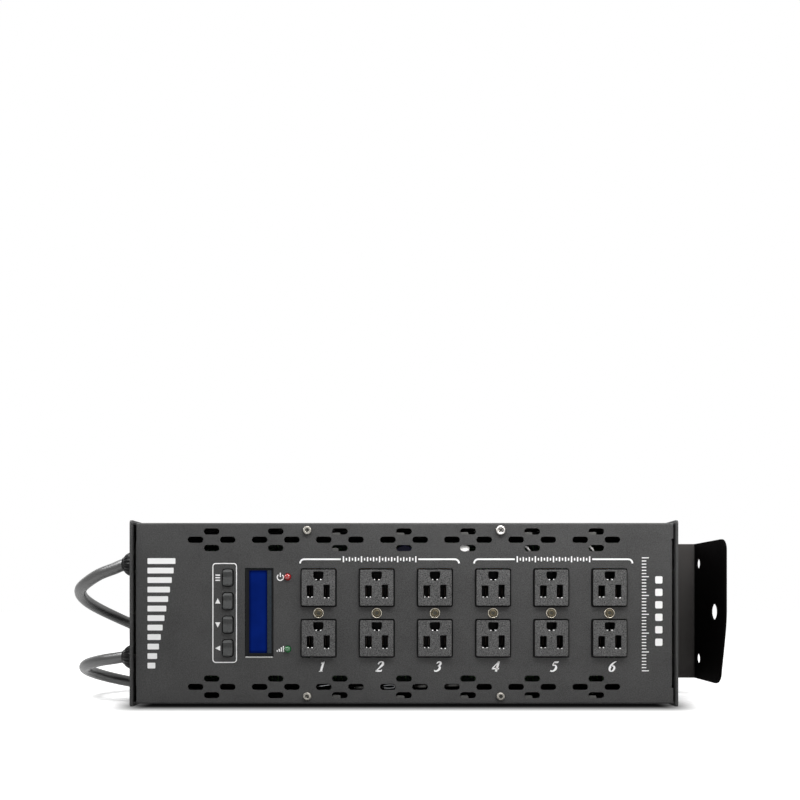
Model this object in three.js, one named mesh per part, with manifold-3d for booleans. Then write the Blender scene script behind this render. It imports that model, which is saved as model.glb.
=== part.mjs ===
// A dimmer pack for stage lamps: a black sheet steel case with six outlet pairs, a display with four
// buttons, two supply cords and a hanging bracket. It stands on the lower edges of its end plates.
// Millimetres. +X runs along the case to the bracket, +Y from the front panel to the back, +Z up.
import * as THREE from 'three';
import { mergeVertices } from 'three/addons/utils/BufferGeometryUtils.js';
import Module from 'manifold-3d';

const wasm = await Module();
wasm.setup();

// Case
const case_length = 421.3;
const case_height = 143.5;
const case_depth = 82;
const plate_overhang = 2;
const plate_thickness = 1.6;
const plate_corner = 2.5;
const sheet = 1.2;
const bend_radius = 2;
const joint_gap = 0.3;
const overrun = 3;
const weld_distance = 0.001;

// Vents
const vent_columns = 7;
const vent_pitch = 49.4;
const vent_row_edge = 15.05;
const vent_length = 11.7;
const vent_height = 4.5;
const vent_rise = 6.4;
const vent_reach = 12.4;

// Outlets
const outlet_count = 6;
const outlet_pitch = 44.76;
const outlet_first_x = -65.7;
const outlet_rise = 0.25;
const face_spacing = 38.9;
const face_width = 25;
const face_height = 27.5;
const face_corner = 1.5;
const face_proud = 2.5;
const face_clearance = 1.2;

// Display, buttons and lamps
const display_x = -111.5;
const window_width = 22;
const window_height = 69.3;
const glass_side = 4.1;
const glass_edge = 2.7;
const glass_width = window_width - 2 * glass_side;
const glass_height = window_height - 2 * glass_edge;
const glass_shift_x = -1;
const glass_shift_z = 0.9;
const button_x = -135.6;
const button_count = 4;
const button_edge = 1.75;
const button_gap = 6.6;
const button_width = 7;
const button_height = (window_height - 2 * button_edge - (button_count - 1) * button_gap) / button_count;
const button_pitch = button_height + button_gap;
const button_clearance = 0.8;
const button_proud = 2.2;
const button_travel = 0.8;
const controls_rise = 0.3;
const lamp_x = -89.6;
const lamp_edge = 6.8;
const lamp_reach = window_height / 2 - lamp_edge;
const lamp_radius = 2.5;

// Fasteners
const cover_screw_x = 74.4;
const cover_screw_edge = 7.75;
const cover_screw_radius = 1.75;
const cover_head_radius = 3.4;
const cover_head_height = 2.1;
const cover_screw_length = 9;
const outlet_screw_radius = 1.6;
const outlet_head_radius = 3.15;
const outlet_head_height = 1.6;
const outlet_screw_length = 12;
const thread_clearance = 0.35;
const plate_screw_spacing = 32.5;
const plate_screw_radius = 1.4;

// Bracket
const bracket_width = 43.05;
const bracket_height = 115.9;
const bracket_rise = 0.7;
const bracket_sheet = 2;
const bracket_bend = 3.5;
const bracket_web_inset = 7;
const bracket_leg = 40;
const bracket_setback = 11.5;
const bracket_bow = 9.4;

// Supply cords
const cord_diameter = 9.4;
const cord_length = 1500;
const cord_lay_gap = 0.7;
const floor_gap = 0.2;
const gland_spacing = 74.2;
const gland_rise = 1.75;
const gland_radius = 11;
const gland_reach = 10.5;

// Room on the left end plate. The lips take the depth that the glands and breakers leave.
const service_gap = 2;
const data_edge = 11.75;
const data_gap = 3;
const data_flange_height = 31;
const breaker_width = 30;
const breaker_height = 14;

// Planes that the pieces share
const half_length = case_length / 2;
const plate_inner = half_length - plate_thickness;
const shell_end = plate_inner - joint_gap;
const front = -case_depth / 2;
const back = case_depth / 2;
const shell_low = plate_overhang;
const shell_high = case_height - plate_overhang;
const middle = case_height / 2;
const panel_inner = front + sheet;
const behind_panel = panel_inner + joint_gap;
const back_inner = back - sheet;
const outlet_z = middle + outlet_rise;
const controls_z = middle + controls_rise;
const lip_depth = (case_depth - 2 * gland_radius - breaker_width - 3 * service_gap) / 2;
const plate_screw_inset = lip_depth / 2;
const gland_y = front + lip_depth + service_gap + gland_radius;
const service_y = back - lip_depth - service_gap - breaker_width / 2;

// Finishes
function finish(color, roughness, metalness) {
  return new THREE.MeshStandardMaterial({ color, roughness, metalness });
}
const black_paint = finish(0x1d1e1f, 0.5, 0.3);
const bracket_paint = finish(0x141414, 0.45, 0.3);
const zinc_steel = finish(0x9a9c9e, 0.4, 0.9);
const nickel_screw = finish(0xb4ada0, 0.35, 0.9);
const outlet_plastic = finish(0x2a2b2b, 0.6, 0);
const black_plastic = finish(0x161616, 0.5, 0);
const blue_glass = finish(0x0a1e78, 0.15, 0);
const board_green = finish(0x1c4a2e, 0.5, 0.1);
const button_plastic = finish(0x303232, 0.5, 0);
const red_lamp = finish(0xc01818, 0.25, 0);
const green_lamp = finish(0x1a9a3c, 0.25, 0);
const cord_rubber = finish(0x121212, 0.6, 0);
const bright_aluminium = finish(0xb8babc, 0.35, 0.9);
const choke_coating = finish(0xc9b23c, 0.5, 0.1);
const core_steel = finish(0x6c6e70, 0.5, 0.7);
const white_plastic = finish(0xe6e6e2, 0.5, 0);

// Points of an arc about a centre, angles in degrees.
function arc(x, y, radius, from, to, steps) {
  const points = [];
  for (let step = 0; step <= steps; step += 1) {
    const angle = THREE.MathUtils.degToRad(from + ((to - from) * step) / steps);
    points.push(new THREE.Vector2(x + radius * Math.cos(angle), y + radius * Math.sin(angle)));
  }
  return points;
}

// A shape from its points, without points that repeat.
function shapeOf(points) {
  const kept = points.filter((point, index) => {
    const next = points[(index + 1) % points.length];
    return point.distanceTo(next) > weld_distance;
  });
  return new THREE.Shape(kept);
}

function polygon(pairs) {
  return shapeOf(pairs.map(([x, y]) => new THREE.Vector2(x, y)));
}

function disc(x, y, radius, sides = 12) {
  return shapeOf(arc(x, y, radius, 0, 360, sides));
}

function roundedRectangle(x, y, width, height, corner, steps = 2) {
  const right = x + width / 2 - corner;
  const left = x - width / 2 + corner;
  const high = y + height / 2 - corner;
  const low = y - height / 2 + corner;
  return shapeOf([
    ...arc(right, low, corner, -90, 0, steps),
    ...arc(right, high, corner, 0, 90, steps),
    ...arc(left, high, corner, 90, 180, steps),
    ...arc(left, low, corner, 180, 270, steps),
  ]);
}

// Extrusions. A shape drawn on YZ runs along X, one on XZ along Y and one on XY along Z.
function extruded(shapes, low, high, across, up, along, bevel = 0) {
  const geometry = new THREE.ExtrudeGeometry(shapes, {
    depth: high - low - 2 * bevel,
    bevelEnabled: bevel > 0,
    bevelSize: bevel,
    bevelOffset: -bevel,
    bevelThickness: bevel,
    bevelSegments: 1,
    curveSegments: 1,
  });
  geometry.translate(0, 0, bevel);
  return geometry.applyMatrix4(new THREE.Matrix4().makeBasis(across, up, along));
}
const axis_x = new THREE.Vector3(1, 0, 0);
const axis_y = new THREE.Vector3(0, 1, 0);
const axis_z = new THREE.Vector3(0, 0, 1);

function alongX(shapes, low, high, bevel) {
  return extruded(shapes, low, high, axis_y, axis_z, axis_x, bevel).translate(low, 0, 0);
}

function alongY(shapes, low, high, bevel) {
  const toFront = axis_y.clone().negate();
  return extruded(shapes, low, high, axis_x, axis_z, toFront, bevel).translate(0, high, 0);
}

function alongZ(shapes, low, high, bevel) {
  return extruded(shapes, low, high, axis_x, axis_y, axis_z, bevel).translate(0, 0, low);
}

function block(x, y, z) {
  const geometry = new THREE.BoxGeometry(x[1] - x[0], y[1] - y[0], z[1] - z[0]);
  return geometry.translate((x[0] + x[1]) / 2, (y[0] + y[1]) / 2, (z[0] + z[1]) / 2);
}

// A turned solid about the Y axis from [radius, height] pairs that start and end on the axis.
function turned(profile, sides) {
  return new THREE.LatheGeometry(profile.map(([radius, y]) => new THREE.Vector2(radius, y)), sides);
}

// Closed solids are joined and cut here, each from a mesh whose shared corners are merged.
function solidOf(geometry) {
  const bare = new THREE.BufferGeometry();
  bare.setAttribute('position', geometry.getAttribute('position'));
  bare.setIndex(geometry.getIndex());
  const merged = mergeVertices(bare, weld_distance);
  const corners = merged.getIndex().array;
  const kept = [];
  for (let first = 0; first < corners.length; first += 3) {
    const [a, b, c] = corners.slice(first, first + 3);
    if (a !== b && b !== c && c !== a) kept.push(a, b, c);
  }
  return new wasm.Manifold(new wasm.Mesh({
    numProp: 3,
    vertProperties: new Float32Array(merged.getAttribute('position').array),
    triVerts: new Uint32Array(kept),
  }));
}

function geometryOf(solid) {
  const mesh = solid.getMesh();
  const geometry = new THREE.BufferGeometry();
  geometry.setAttribute('position', new THREE.BufferAttribute(mesh.vertProperties, 3));
  geometry.setIndex(new THREE.BufferAttribute(mesh.triVerts, 1));
  return geometry;
}

function join(...parts) {
  return geometryOf(parts.map(solidOf).reduce((whole, part) => whole.add(part)));
}

function cut(body, ...tools) {
  return geometryOf(tools.map(solidOf).reduce((whole, tool) => whole.subtract(tool), solidOf(body)));
}

function overlapOf(first, second) {
  return geometryOf(solidOf(first).intersect(solidOf(second)));
}

function times(count, make) {
  return Array.from({ length: count }, (_, index) => make(index));
}

// Places that several pieces use
const vent_places = times(vent_columns, (column) => (column - (vent_columns - 1) / 2) * vent_pitch);
const outlet_places = times(outlet_count, (index) => outlet_first_x + outlet_pitch * index);
const face_places = [-face_spacing / 2, face_spacing / 2];
const button_places = times(button_count, (index) => (
  controls_z + ((button_count - 1) / 2 - index) * button_pitch));
const lamp_places = [controls_z + lamp_reach, controls_z - lamp_reach];
const cover_screw_places = [];
for (const x of [-cover_screw_x, cover_screw_x]) {
  for (const z of [case_height - cover_screw_edge, cover_screw_edge]) cover_screw_places.push([x, z]);
}
const plate_screw_places = [-plate_screw_spacing, 0, plate_screw_spacing].map((rise) => middle + rise);
const plate_screw_rows = [front + plate_screw_inset, back - plate_screw_inset];

// A folded channel in section: its web at zero depth, its flanges reaching to the given depth.
function channelPoints(depth, low, high, wall, bend) {
  const steps = 3;
  const inner = bend - wall;
  const corner = (x, y, radius, from, to) => arc(x, y, radius, from, to, steps);
  return [
    new THREE.Vector2(depth, low),
    ...corner(bend, low + bend, bend, 270, 180),
    ...corner(bend, high - bend, bend, 180, 90),
    new THREE.Vector2(depth, high),
    new THREE.Vector2(depth, high - wall),
    ...corner(bend, high - bend, inner, 90, 180),
    ...corner(bend, low + bend, inner, 180, 270),
    new THREE.Vector2(depth, low + wall),
  ];
}

// The lip that a panel's end is folded into, against an end plate.
const lip_edge = 15.75;
const lip_height = case_height - 2 * lip_edge;
const lip_relief = 1.5;
const lip_lap = 2;
function endLip(side, face, inward) {
  const steps = 3;
  const inner = bend_radius - sheet;
  const section = [
    new THREE.Vector2(bend_radius + lip_lap, 0),
    ...arc(bend_radius, bend_radius, bend_radius, 270, 180, steps),
    new THREE.Vector2(0, lip_depth),
    new THREE.Vector2(sheet, lip_depth),
    ...arc(bend_radius, bend_radius, inner, 180, 270, steps),
    new THREE.Vector2(bend_radius + lip_lap, sheet),
  ].map(({ x, y }) => new THREE.Vector2(side * (shell_end - x), face + inward * y));
  return alongZ(shapeOf(section), middle - lip_height / 2, middle + lip_height / 2);
}

// Both long panels get lips: the panel's ends are notched first, which leaves corner reliefs.
function withLips(panel, face, inward) {
  const notch_height = lip_height + 2 * lip_relief;
  const depths = [face - inward * overrun, face + inward * (bend_radius + lip_relief)];
  const y = [Math.min(...depths), Math.max(...depths)];
  const z = [middle - notch_height / 2, middle + notch_height / 2];
  const notches = [
    block([shell_end - bend_radius, shell_end + overrun], y, z),
    block([-shell_end - overrun, -shell_end + bend_radius], y, z),
  ];
  const lips = [endLip(1, face, inward), endLip(-1, face, inward)];
  const holes = plate_screw_places.map((height) => (
    disc(face + inward * plate_screw_inset, height, plate_screw_radius, 8)));
  return cut(join(cut(panel, ...notches), ...lips), alongX(holes, -half_length, half_length));
}

function frontCover() {
  const section = channelPoints(case_depth, shell_low, shell_high, sheet, bend_radius);
  const drawn = shapeOf(section.map(({ x, y }) => new THREE.Vector2(front + x, y)));
  const panel = withLips(alongX(drawn, -shell_end, shell_end), front, 1);
  const vents = [];
  for (const x of vent_places) {
    for (const row of [vent_row_edge, case_height - vent_row_edge]) {
      for (const [dx, dz] of [[0, vent_rise], [0, -vent_rise], [vent_reach, 0], [-vent_reach, 0]]) {
        vents.push(roundedRectangle(x + dx, row + dz, vent_length, vent_height, vent_height / 2));
      }
    }
  }
  const faces = [];
  const width = face_width + 2 * face_clearance;
  const height = face_height + 2 * face_clearance;
  for (const x of outlet_places) {
    for (const rise of face_places) {
      faces.push(roundedRectangle(x, outlet_z + rise, width, height, face_corner + face_clearance));
    }
  }
  const window_corner = joint_gap;
  const controls = [
    roundedRectangle(display_x, controls_z, window_width, window_height, window_corner, 1),
    ...button_places.map((z) => roundedRectangle(button_x, z, button_width + 2 * button_clearance,
      button_height + 2 * button_clearance, button_corner + button_clearance)),
  ];
  const rounds = [
    ...lamp_places.map((z) => disc(lamp_x, z, lamp_radius + joint_gap)),
    ...outlet_places.map((x) => disc(x, outlet_z, outlet_screw_radius + thread_clearance, 10)),
    ...cover_screw_places.map(([x, z]) => disc(x, z, cover_screw_radius + thread_clearance, 10)),
  ];
  const through = (shapes) => alongY(shapes, front - overrun, panel_inner + overrun);
  return cut(panel, through(vents), through(faces), through(controls), through(rounds));
}

// Rear chassis: the back panel, its flanges inside the cover and an arm behind each cover screw.
const chassis_flange = 15;
const arm_width = 12;
const arm_tab = 11;
const chassis_low = shell_low + sheet + joint_gap;
const chassis_high = shell_high - sheet - joint_gap;
function rearChassis() {
  const section = channelPoints(chassis_flange, chassis_low, chassis_high, sheet, bend_radius);
  const drawn = shapeOf(section.map(({ x, y }) => new THREE.Vector2(back - x, y)));
  const panel = withLips(alongX(drawn, -shell_end, shell_end), back, -1);
  const arms = [];
  for (const x of [-cover_screw_x, cover_screw_x]) {
    const across = [x - arm_width / 2, x + arm_width / 2];
    const along = [behind_panel, back - chassis_flange + overrun];
    const thick = [behind_panel, behind_panel + sheet];
    arms.push(block(across, along, [chassis_high - sheet, chassis_high]));
    arms.push(block(across, thick, [chassis_high - arm_tab, chassis_high]));
    arms.push(block(across, along, [chassis_low, chassis_low + sheet]));
    arms.push(block(across, thick, [chassis_low, chassis_low + arm_tab]));
  }
  const holes = cover_screw_places.map(([x, z]) => disc(x, z, cover_screw_radius + joint_gap, 10));
  return cut(join(panel, ...arms), alongY(holes, front, behind_panel + sheet + overrun));
}

// End plates
const bracket_bolt_spacing = 50;
const bracket_bolt_radius = 3.3;
const bracket_bolt_y = service_y;
const breaker_neck_radius = 4.8;
const data_body_width = 23;
const data_body_height = 27;
const data_corner = 3;
function endPlate(holes, low, high) {
  const depth = case_depth + 2 * plate_overhang;
  const plate = roundedRectangle(0, middle, depth, case_height, plate_corner, 3);
  for (const y of plate_screw_rows) {
    for (const z of plate_screw_places) {
      holes.push(disc(y, z, plate_screw_radius + joint_gap, 8));
    }
  }
  plate.holes = holes.map((hole) => new THREE.Path(hole.getPoints()));
  return alongX(plate, low, high);
}

const gland_places = [gland_spacing / 2, -gland_spacing / 2].map((rise) => middle + gland_rise + rise);
const service_height = data_edge + 2 * data_flange_height + data_gap + 2 * breaker_height;
const service_room = (case_height - service_height) / 3;
const data_pitch = data_flange_height + data_gap;
const data_high = case_height - data_edge - data_flange_height / 2;
const data_places = [data_high, data_high - data_pitch];
const breaker_pitch = breaker_height + service_room;
const breaker_low = service_room + breaker_height / 2;
const breaker_places = [breaker_low + breaker_pitch, breaker_low];
const gland_barrel_radius = 8;
function leftEndPlate() {
  const holes = [
    ...gland_places.map((z) => disc(gland_y, z, gland_barrel_radius + joint_gap, 16)),
    ...breaker_places.map((z) => disc(service_y, z, breaker_neck_radius + joint_gap, 14)),
    ...data_places.map((z) => roundedRectangle(service_y, z, data_body_width + 2 * joint_gap,
      data_body_height + 2 * joint_gap, data_corner + joint_gap)),
  ];
  return endPlate(holes, -half_length, -plate_inner);
}

const bracket_z = middle + bracket_rise;
const bracket_bolt_places = [-bracket_bolt_spacing / 2, bracket_bolt_spacing / 2]
  .map((rise) => bracket_z + rise);
function rightEndPlate() {
  const holes = bracket_bolt_places.map((z) => disc(bracket_bolt_y, z, bracket_bolt_radius, 12));
  return endPlate(holes, plate_inner, half_length);
}

// Hanging bracket: a leg on the end plate, a web and a flange that comes forward.
const bracket_corner_high = 9;
const bracket_corner_low = 11;
const bracket_bow_rise = 12;
const clamp_hole_radius = 6.65;
const clamp_hole_inset = 22;
const side_hole_radius = 4.5;
const side_hole_spacing = 81;
const side_hole_inset = 8;
function mountingBracket() {
  const web_back = back - bracket_web_inset + bracket_sheet;
  const low = bracket_z - bracket_height / 2;
  const high = bracket_z + bracket_height / 2;
  const flange_front = front + bracket_setback;
  const flange_length = web_back - flange_front;
  const points = channelPoints(flange_length, 0, bracket_width, bracket_sheet, bracket_bend);
  const folded = shapeOf(points.map(({ x, y }) => new THREE.Vector2(half_length + y, web_back - x)));
  const sheet_form = alongZ(folded, low, high);
  const leg_cut = block([half_length - overrun, half_length + bracket_bend],
    [flange_front - overrun, web_back - bracket_leg], [low - overrun, high + overrun]);
  const outline = new THREE.Shape();
  const foot = flange_front + bracket_bow;
  outline.moveTo(web_back + overrun, low);
  outline.lineTo(foot + bracket_corner_low, low);
  outline.absarc(foot + bracket_corner_low, low + bracket_corner_low, bracket_corner_low,
    1.5 * Math.PI, Math.PI, true);
  outline.quadraticCurveTo(flange_front, bracket_z - bracket_bow_rise, flange_front, bracket_z);
  outline.lineTo(flange_front, high - bracket_corner_high);
  outline.absarc(flange_front + bracket_corner_high, high - bracket_corner_high, bracket_corner_high,
    Math.PI, Math.PI / 2, true);
  outline.lineTo(web_back + overrun, high);
  const right = half_length + bracket_width;
  const kept = alongX(shapeOf(outline.getPoints(3)), half_length - overrun, right + overrun);
  const clamp_hole = disc(flange_front + clamp_hole_inset, bracket_z, clamp_hole_radius, 20);
  const side_y = back - bracket_web_inset - side_hole_inset;
  const side_holes = [-side_hole_spacing / 2, side_hole_spacing / 2]
    .map((rise) => disc(side_y, bracket_z + rise, side_hole_radius, 16));
  const bolt_holes = bracket_bolt_places.map((z) => disc(bracket_bolt_y, z, bracket_bolt_radius, 12));
  return cut(
    overlapOf(cut(sheet_form, leg_cut), kept),
    alongX([clamp_hole, ...side_holes], right - bracket_bend, right + overrun),
    alongX(bolt_holes, half_length - overrun, half_length + bracket_bend),
  );
}

// An outlet pair, drawn about its centre with the panel's outer face at y = 0.
const outlet_body_width = 30;
const outlet_body_height = 68;
const outlet_body_depth = 24;
const face_bevel = 0.5;
const blade_offset = 6.35;
const blade_drop = 3.3;
const blade_width = 3.8;
const live_height = 7.6;
const neutral_height = 9;
const ground_rise = 8.6;
const ground_width = 7;
const ground_height = 6.4;
const socket_depth = 12;
const boss_depth = 13;
function outletPair() {
  const body_front = sheet + joint_gap;
  const body = block([-outlet_body_width / 2, outlet_body_width / 2],
    [body_front, body_front + outlet_body_depth],
    [-outlet_body_height / 2, outlet_body_height / 2]);
  const faces = face_places.map((z) => roundedRectangle(0, z, face_width, face_height, face_corner));
  const sockets = [];
  for (const z of face_places) {
    const slot = (x, height) => roundedRectangle(x, z - blade_drop, blade_width, height, joint_gap, 1);
    sockets.push(slot(-blade_offset, live_height));
    sockets.push(slot(blade_offset, neutral_height));
    const radius = ground_width / 2;
    const flat = z + ground_rise + ground_height / 2;
    sockets.push(shapeOf([
      ...arc(0, flat - ground_height + radius, radius, 180, 360, 6),
      new THREE.Vector2(radius, flat),
      new THREE.Vector2(-radius, flat),
    ]));
  }
  const raised = faces.map((face) => alongY(face, -face_proud, body_front + face_bevel * 2, face_bevel));
  const bore = disc(0, 0, outlet_screw_radius + joint_gap, 10);
  return cut(
    join(body, ...raised),
    alongY(sockets, -face_proud - overrun, socket_depth - face_proud),
    alongY(bore, -overrun, boss_depth),
  );
}

// A cross-head screw along +Y, its head on the panel's outer face at y = 0.
const recess_width = 0.9;
const recess_share = 0.62;
const recess_depth_share = 0.6;
const head_edge_share = 0.35;
const head_round_share = 0.72;
const head_crown_share = 0.86;
function screw(head_radius, head_height, shank_radius, length) {
  const body = turned([
    [0, -head_height],
    [head_radius * head_round_share, -head_height * head_crown_share],
    [head_radius, -head_height * head_edge_share],
    [head_radius, 0],
    [shank_radius, 0],
    [shank_radius, length],
    [0, length],
  ], 10);
  const reach = head_radius * recess_share;
  const floor = -head_height * (1 - recess_depth_share);
  const deep = [-head_height - overrun, floor];
  const thin = [-recess_width / 2, recess_width / 2];
  return cut(body, join(block([-reach, reach], deep, thin), block(thin, deep, [-reach, reach])));
}

// Display: a frame in the panel's window, with the glass in it.
const frame_lip = 2.5;
const frame_lip_depth = 2;
const frame_recess = 0.4;
const glass_recess = 0.6;
const glass_thickness = 2.4;
const frame_back = behind_panel + frame_lip_depth;
const glass_x = display_x + glass_shift_x;
const glass_z = controls_z + glass_shift_z;
function displayFrame() {
  const lip = roundedRectangle(display_x, controls_z, window_width + 2 * frame_lip,
    window_height + 2 * frame_lip, frame_lip / 2);
  const rim = roundedRectangle(display_x, controls_z, window_width - 2 * joint_gap,
    window_height - 2 * joint_gap, joint_gap, 1);
  const opening = roundedRectangle(glass_x, glass_z, glass_width + 2 * joint_gap,
    glass_height + 2 * joint_gap, joint_gap, 1);
  return cut(
    join(alongY(lip, behind_panel, frame_back), alongY(rim, front + frame_recess, frame_back)),
    alongY(opening, front - overrun, frame_back + overrun),
  );
}

function displayGlass() {
  const face = front + frame_recess + glass_recess;
  const pane = roundedRectangle(glass_x, glass_z, glass_width, glass_height, joint_gap, 1);
  return alongY(pane, face, face + glass_thickness);
}

// A button: a cap in the panel, a collar that keeps it behind the panel and a plunger.
const button_corner = 1.6;
const collar_lip = 1.6;
const collar_depth = 1.2;
const plunger_radius = 1.5;
const plunger_length = 7.5;
const button_bevel = 0.5;
const collar_back = sheet + joint_gap + collar_depth;
function buttonPiece() {
  const cap = roundedRectangle(0, 0, button_width, button_height, button_corner);
  const collar = roundedRectangle(0, 0, button_width + 2 * (button_clearance + collar_lip),
    button_height + 2 * (button_clearance + collar_lip), button_corner);
  return join(
    alongY(cap, -button_proud, collar_back, button_bevel),
    alongY(collar, sheet + joint_gap, collar_back),
    alongY(disc(0, 0, plunger_radius, 10), collar_back - button_bevel, collar_back + plunger_length),
  );
}

// Control board: the display's block, a switch behind each button and posts to the panel.
const board_thickness = 1.6;
const board_setback = 17;
const board_front = front + board_setback;
const board_margin = 8;
const switch_size = 6.2;
const post_radius = 2.5;
const post_inset = 3.75;
function controlBoard() {
  const left = button_x - button_width / 2 - board_margin;
  const right = lamp_x + board_margin;
  const low = controls_z - window_height / 2 - board_margin;
  const high = controls_z + window_height / 2 + board_margin;
  const board_back = board_front + board_thickness;
  const switch_front = front + collar_back + button_travel + joint_gap;
  const display_block = block(
    [display_x - window_width / 2, display_x + window_width / 2],
    [frame_back + joint_gap, board_front + board_thickness / 2],
    [controls_z - window_height / 2, controls_z + window_height / 2],
  );
  const switches = button_places.map((z) => (
    block([button_x - switch_size / 2, button_x + switch_size / 2],
      [switch_front, board_front + board_thickness / 2],
      [z - switch_size / 2, z + switch_size / 2])));
  const posts = [];
  for (const x of [left + post_inset, right - post_inset]) {
    for (const z of [low + post_inset, high - post_inset]) posts.push(disc(x, z, post_radius, 8));
  }
  const wells = button_places.map((z) => disc(button_x, z, plunger_radius + joint_gap, 10));
  const well_back = front + collar_back + plunger_length + button_travel + joint_gap;
  return cut(
    join(
      block([left, right], [board_front, board_back], [low, high]),
      display_block,
      ...switches,
      alongY(posts, behind_panel, board_front + board_thickness / 2),
    ),
    alongY(wells, front, well_back),
  );
}

// An indicator lamp: a dome through the panel, a collar behind it and two legs to the board.
const lamp_collar = 0.6;
const lamp_dome = 2.6;
const leg_size = 0.6;
const leg_spacing = 2.54;
function indicatorLamp() {
  const collar_front = sheet + joint_gap;
  const dome = times(3, (step) => {
    const angle = (Math.PI / 2) * (step / 3);
    return [lamp_radius * Math.sin(angle), -lamp_dome * Math.cos(angle)];
  });
  const body = turned([
    ...dome,
    [lamp_radius, 0],
    [lamp_radius, collar_front],
    [lamp_radius + lamp_collar, collar_front],
    [lamp_radius + lamp_collar, collar_front + 2 * lamp_collar],
    [0, collar_front + 2 * lamp_collar],
  ], 12);
  const leg_end = board_front - front - joint_gap;
  const legs = [-leg_spacing / 2, leg_spacing / 2].map((z) => (
    block([-leg_size / 2, leg_size / 2], [collar_front, leg_end], [z - leg_size / 2, z + leg_size / 2])));
  return join(body, ...legs);
}

// A cord gland along +Y from the plate's outer face: barrel and lock nut inside, nut and dome outside.
const gland_nut = 5;
const gland_mouth_radius = 6.2;
const gland_bore_gap = 0.5;
const gland_bore_radius = cord_diameter / 2 + gland_bore_gap;
const gland_recess = 2;
const gland_barrel = 9;
const lock_nut = 4;
const gland_rib_count = 10;
const gland_rib = 0.7;
function cordGland() {
  const inner = -plate_thickness - joint_gap;
  const dome_radius = gland_radius - gland_rib * 2;
  const steps = [0, 45, 90].map(THREE.MathUtils.degToRad);
  const dome = steps.map((angle) => [
    gland_mouth_radius + (dome_radius - gland_mouth_radius) * Math.cos(angle),
    gland_nut + (gland_reach - gland_nut) * Math.sin(angle),
  ]);
  const body = turned([
    [0, inner - gland_barrel],
    [gland_barrel_radius, inner - gland_barrel],
    [gland_barrel_radius, inner - lock_nut],
    [gland_radius, inner - lock_nut],
    [gland_radius, inner],
    [gland_barrel_radius, inner],
    [gland_barrel_radius, joint_gap],
    [dome_radius, joint_gap],
    ...dome,
    [0, gland_reach],
  ], 14);
  const rim = times(gland_rib_count * 2, (index) => {
    const angle = (Math.PI * index) / gland_rib_count;
    const radius = gland_radius - (index % 2) * gland_rib;
    return [radius * Math.cos(angle), radius * Math.sin(angle)];
  });
  const ribbed = alongY(polygon(rim), joint_gap, gland_nut);
  const mouth = alongY(disc(0, 0, gland_bore_radius, 14), gland_reach - gland_recess, gland_reach + overrun);
  return cut(join(body, ribbed), mouth);
}

// A resettable breaker along +Y from the plate's outer face, with a bore for its button.
const breaker_depth = 26;
const breaker_neck = 6.5;
const breaker_nut_radius = 6.6;
const breaker_nut = 2.6;
const breaker_button_radius = 3.2;
const breaker_button_out = 5;
const breaker_bore_depth = 14;
function breaker() {
  const inner = -plate_thickness - joint_gap;
  const bore = disc(0, 0, breaker_button_radius + joint_gap, 14);
  return cut(
    join(
      block([-breaker_width / 2, breaker_width / 2], [inner - breaker_depth, inner],
        [-breaker_height / 2, breaker_height / 2]),
      alongY(disc(0, 0, breaker_neck_radius, 14), inner - joint_gap, breaker_neck),
      alongY(disc(0, 0, breaker_nut_radius, 6), joint_gap, joint_gap + breaker_nut),
    ),
    alongY(bore, breaker_neck - breaker_bore_depth, breaker_neck + overrun),
  );
}

function breakerButton() {
  const low = breaker_neck - breaker_bore_depth + joint_gap;
  const high = breaker_neck + breaker_button_out;
  return alongY(disc(0, 0, breaker_button_radius, 14), low, high, face_bevel);
}

// Data connectors along +Y from the plate's outer face.
const data_flange_width = 26;
const data_flange = 2.5;
const data_depth = 18;
const data_cavity_radius = 9.6;
const data_cavity_depth = 14;
const data_insert_radius = 7.9;
const pin_circle = 4.6;
const pin_radius = 1.2;
const pin_length = 11;
const pin_hole_radius = 1.5;
const flange_screw_radius = 1.6;
const flange_screw_x = 9.5;
const flange_screw_z = 12;
const pin_angles = [90, 210, 330];
function pinPlaces() {
  return pin_angles.map((angle) => {
    const [place] = arc(0, 0, pin_circle, angle, angle, 1);
    return [place.x, place.y];
  });
}

function dataShell() {
  const flange = roundedRectangle(0, 0, data_flange_width, data_flange_height, data_corner);
  flange.holes = [[-flange_screw_x, flange_screw_z], [flange_screw_x, -flange_screw_z]]
    .map(([x, z]) => new THREE.Path(disc(x, z, flange_screw_radius, 8).getPoints()));
  const body = roundedRectangle(0, 0, data_body_width, data_body_height, data_corner);
  const low = -plate_thickness - data_depth;
  return cut(
    join(alongY(flange, joint_gap, joint_gap + data_flange), alongY(body, low, joint_gap + face_bevel)),
    alongY(flange.holes.map((hole) => new THREE.Shape(hole.getPoints())), -data_depth / 2, data_flange),
  );
}

function dataInlet() {
  const mouth = joint_gap + data_flange;
  const floor = mouth - data_cavity_depth;
  const hollow = cut(dataShell(), alongY(disc(0, 0, data_cavity_radius, 16), floor, mouth + overrun));
  const pins = pinPlaces().map(([x, z]) => disc(x, z, pin_radius, 8));
  return join(hollow, alongY(pins, floor - face_bevel, floor + pin_length));
}

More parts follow.
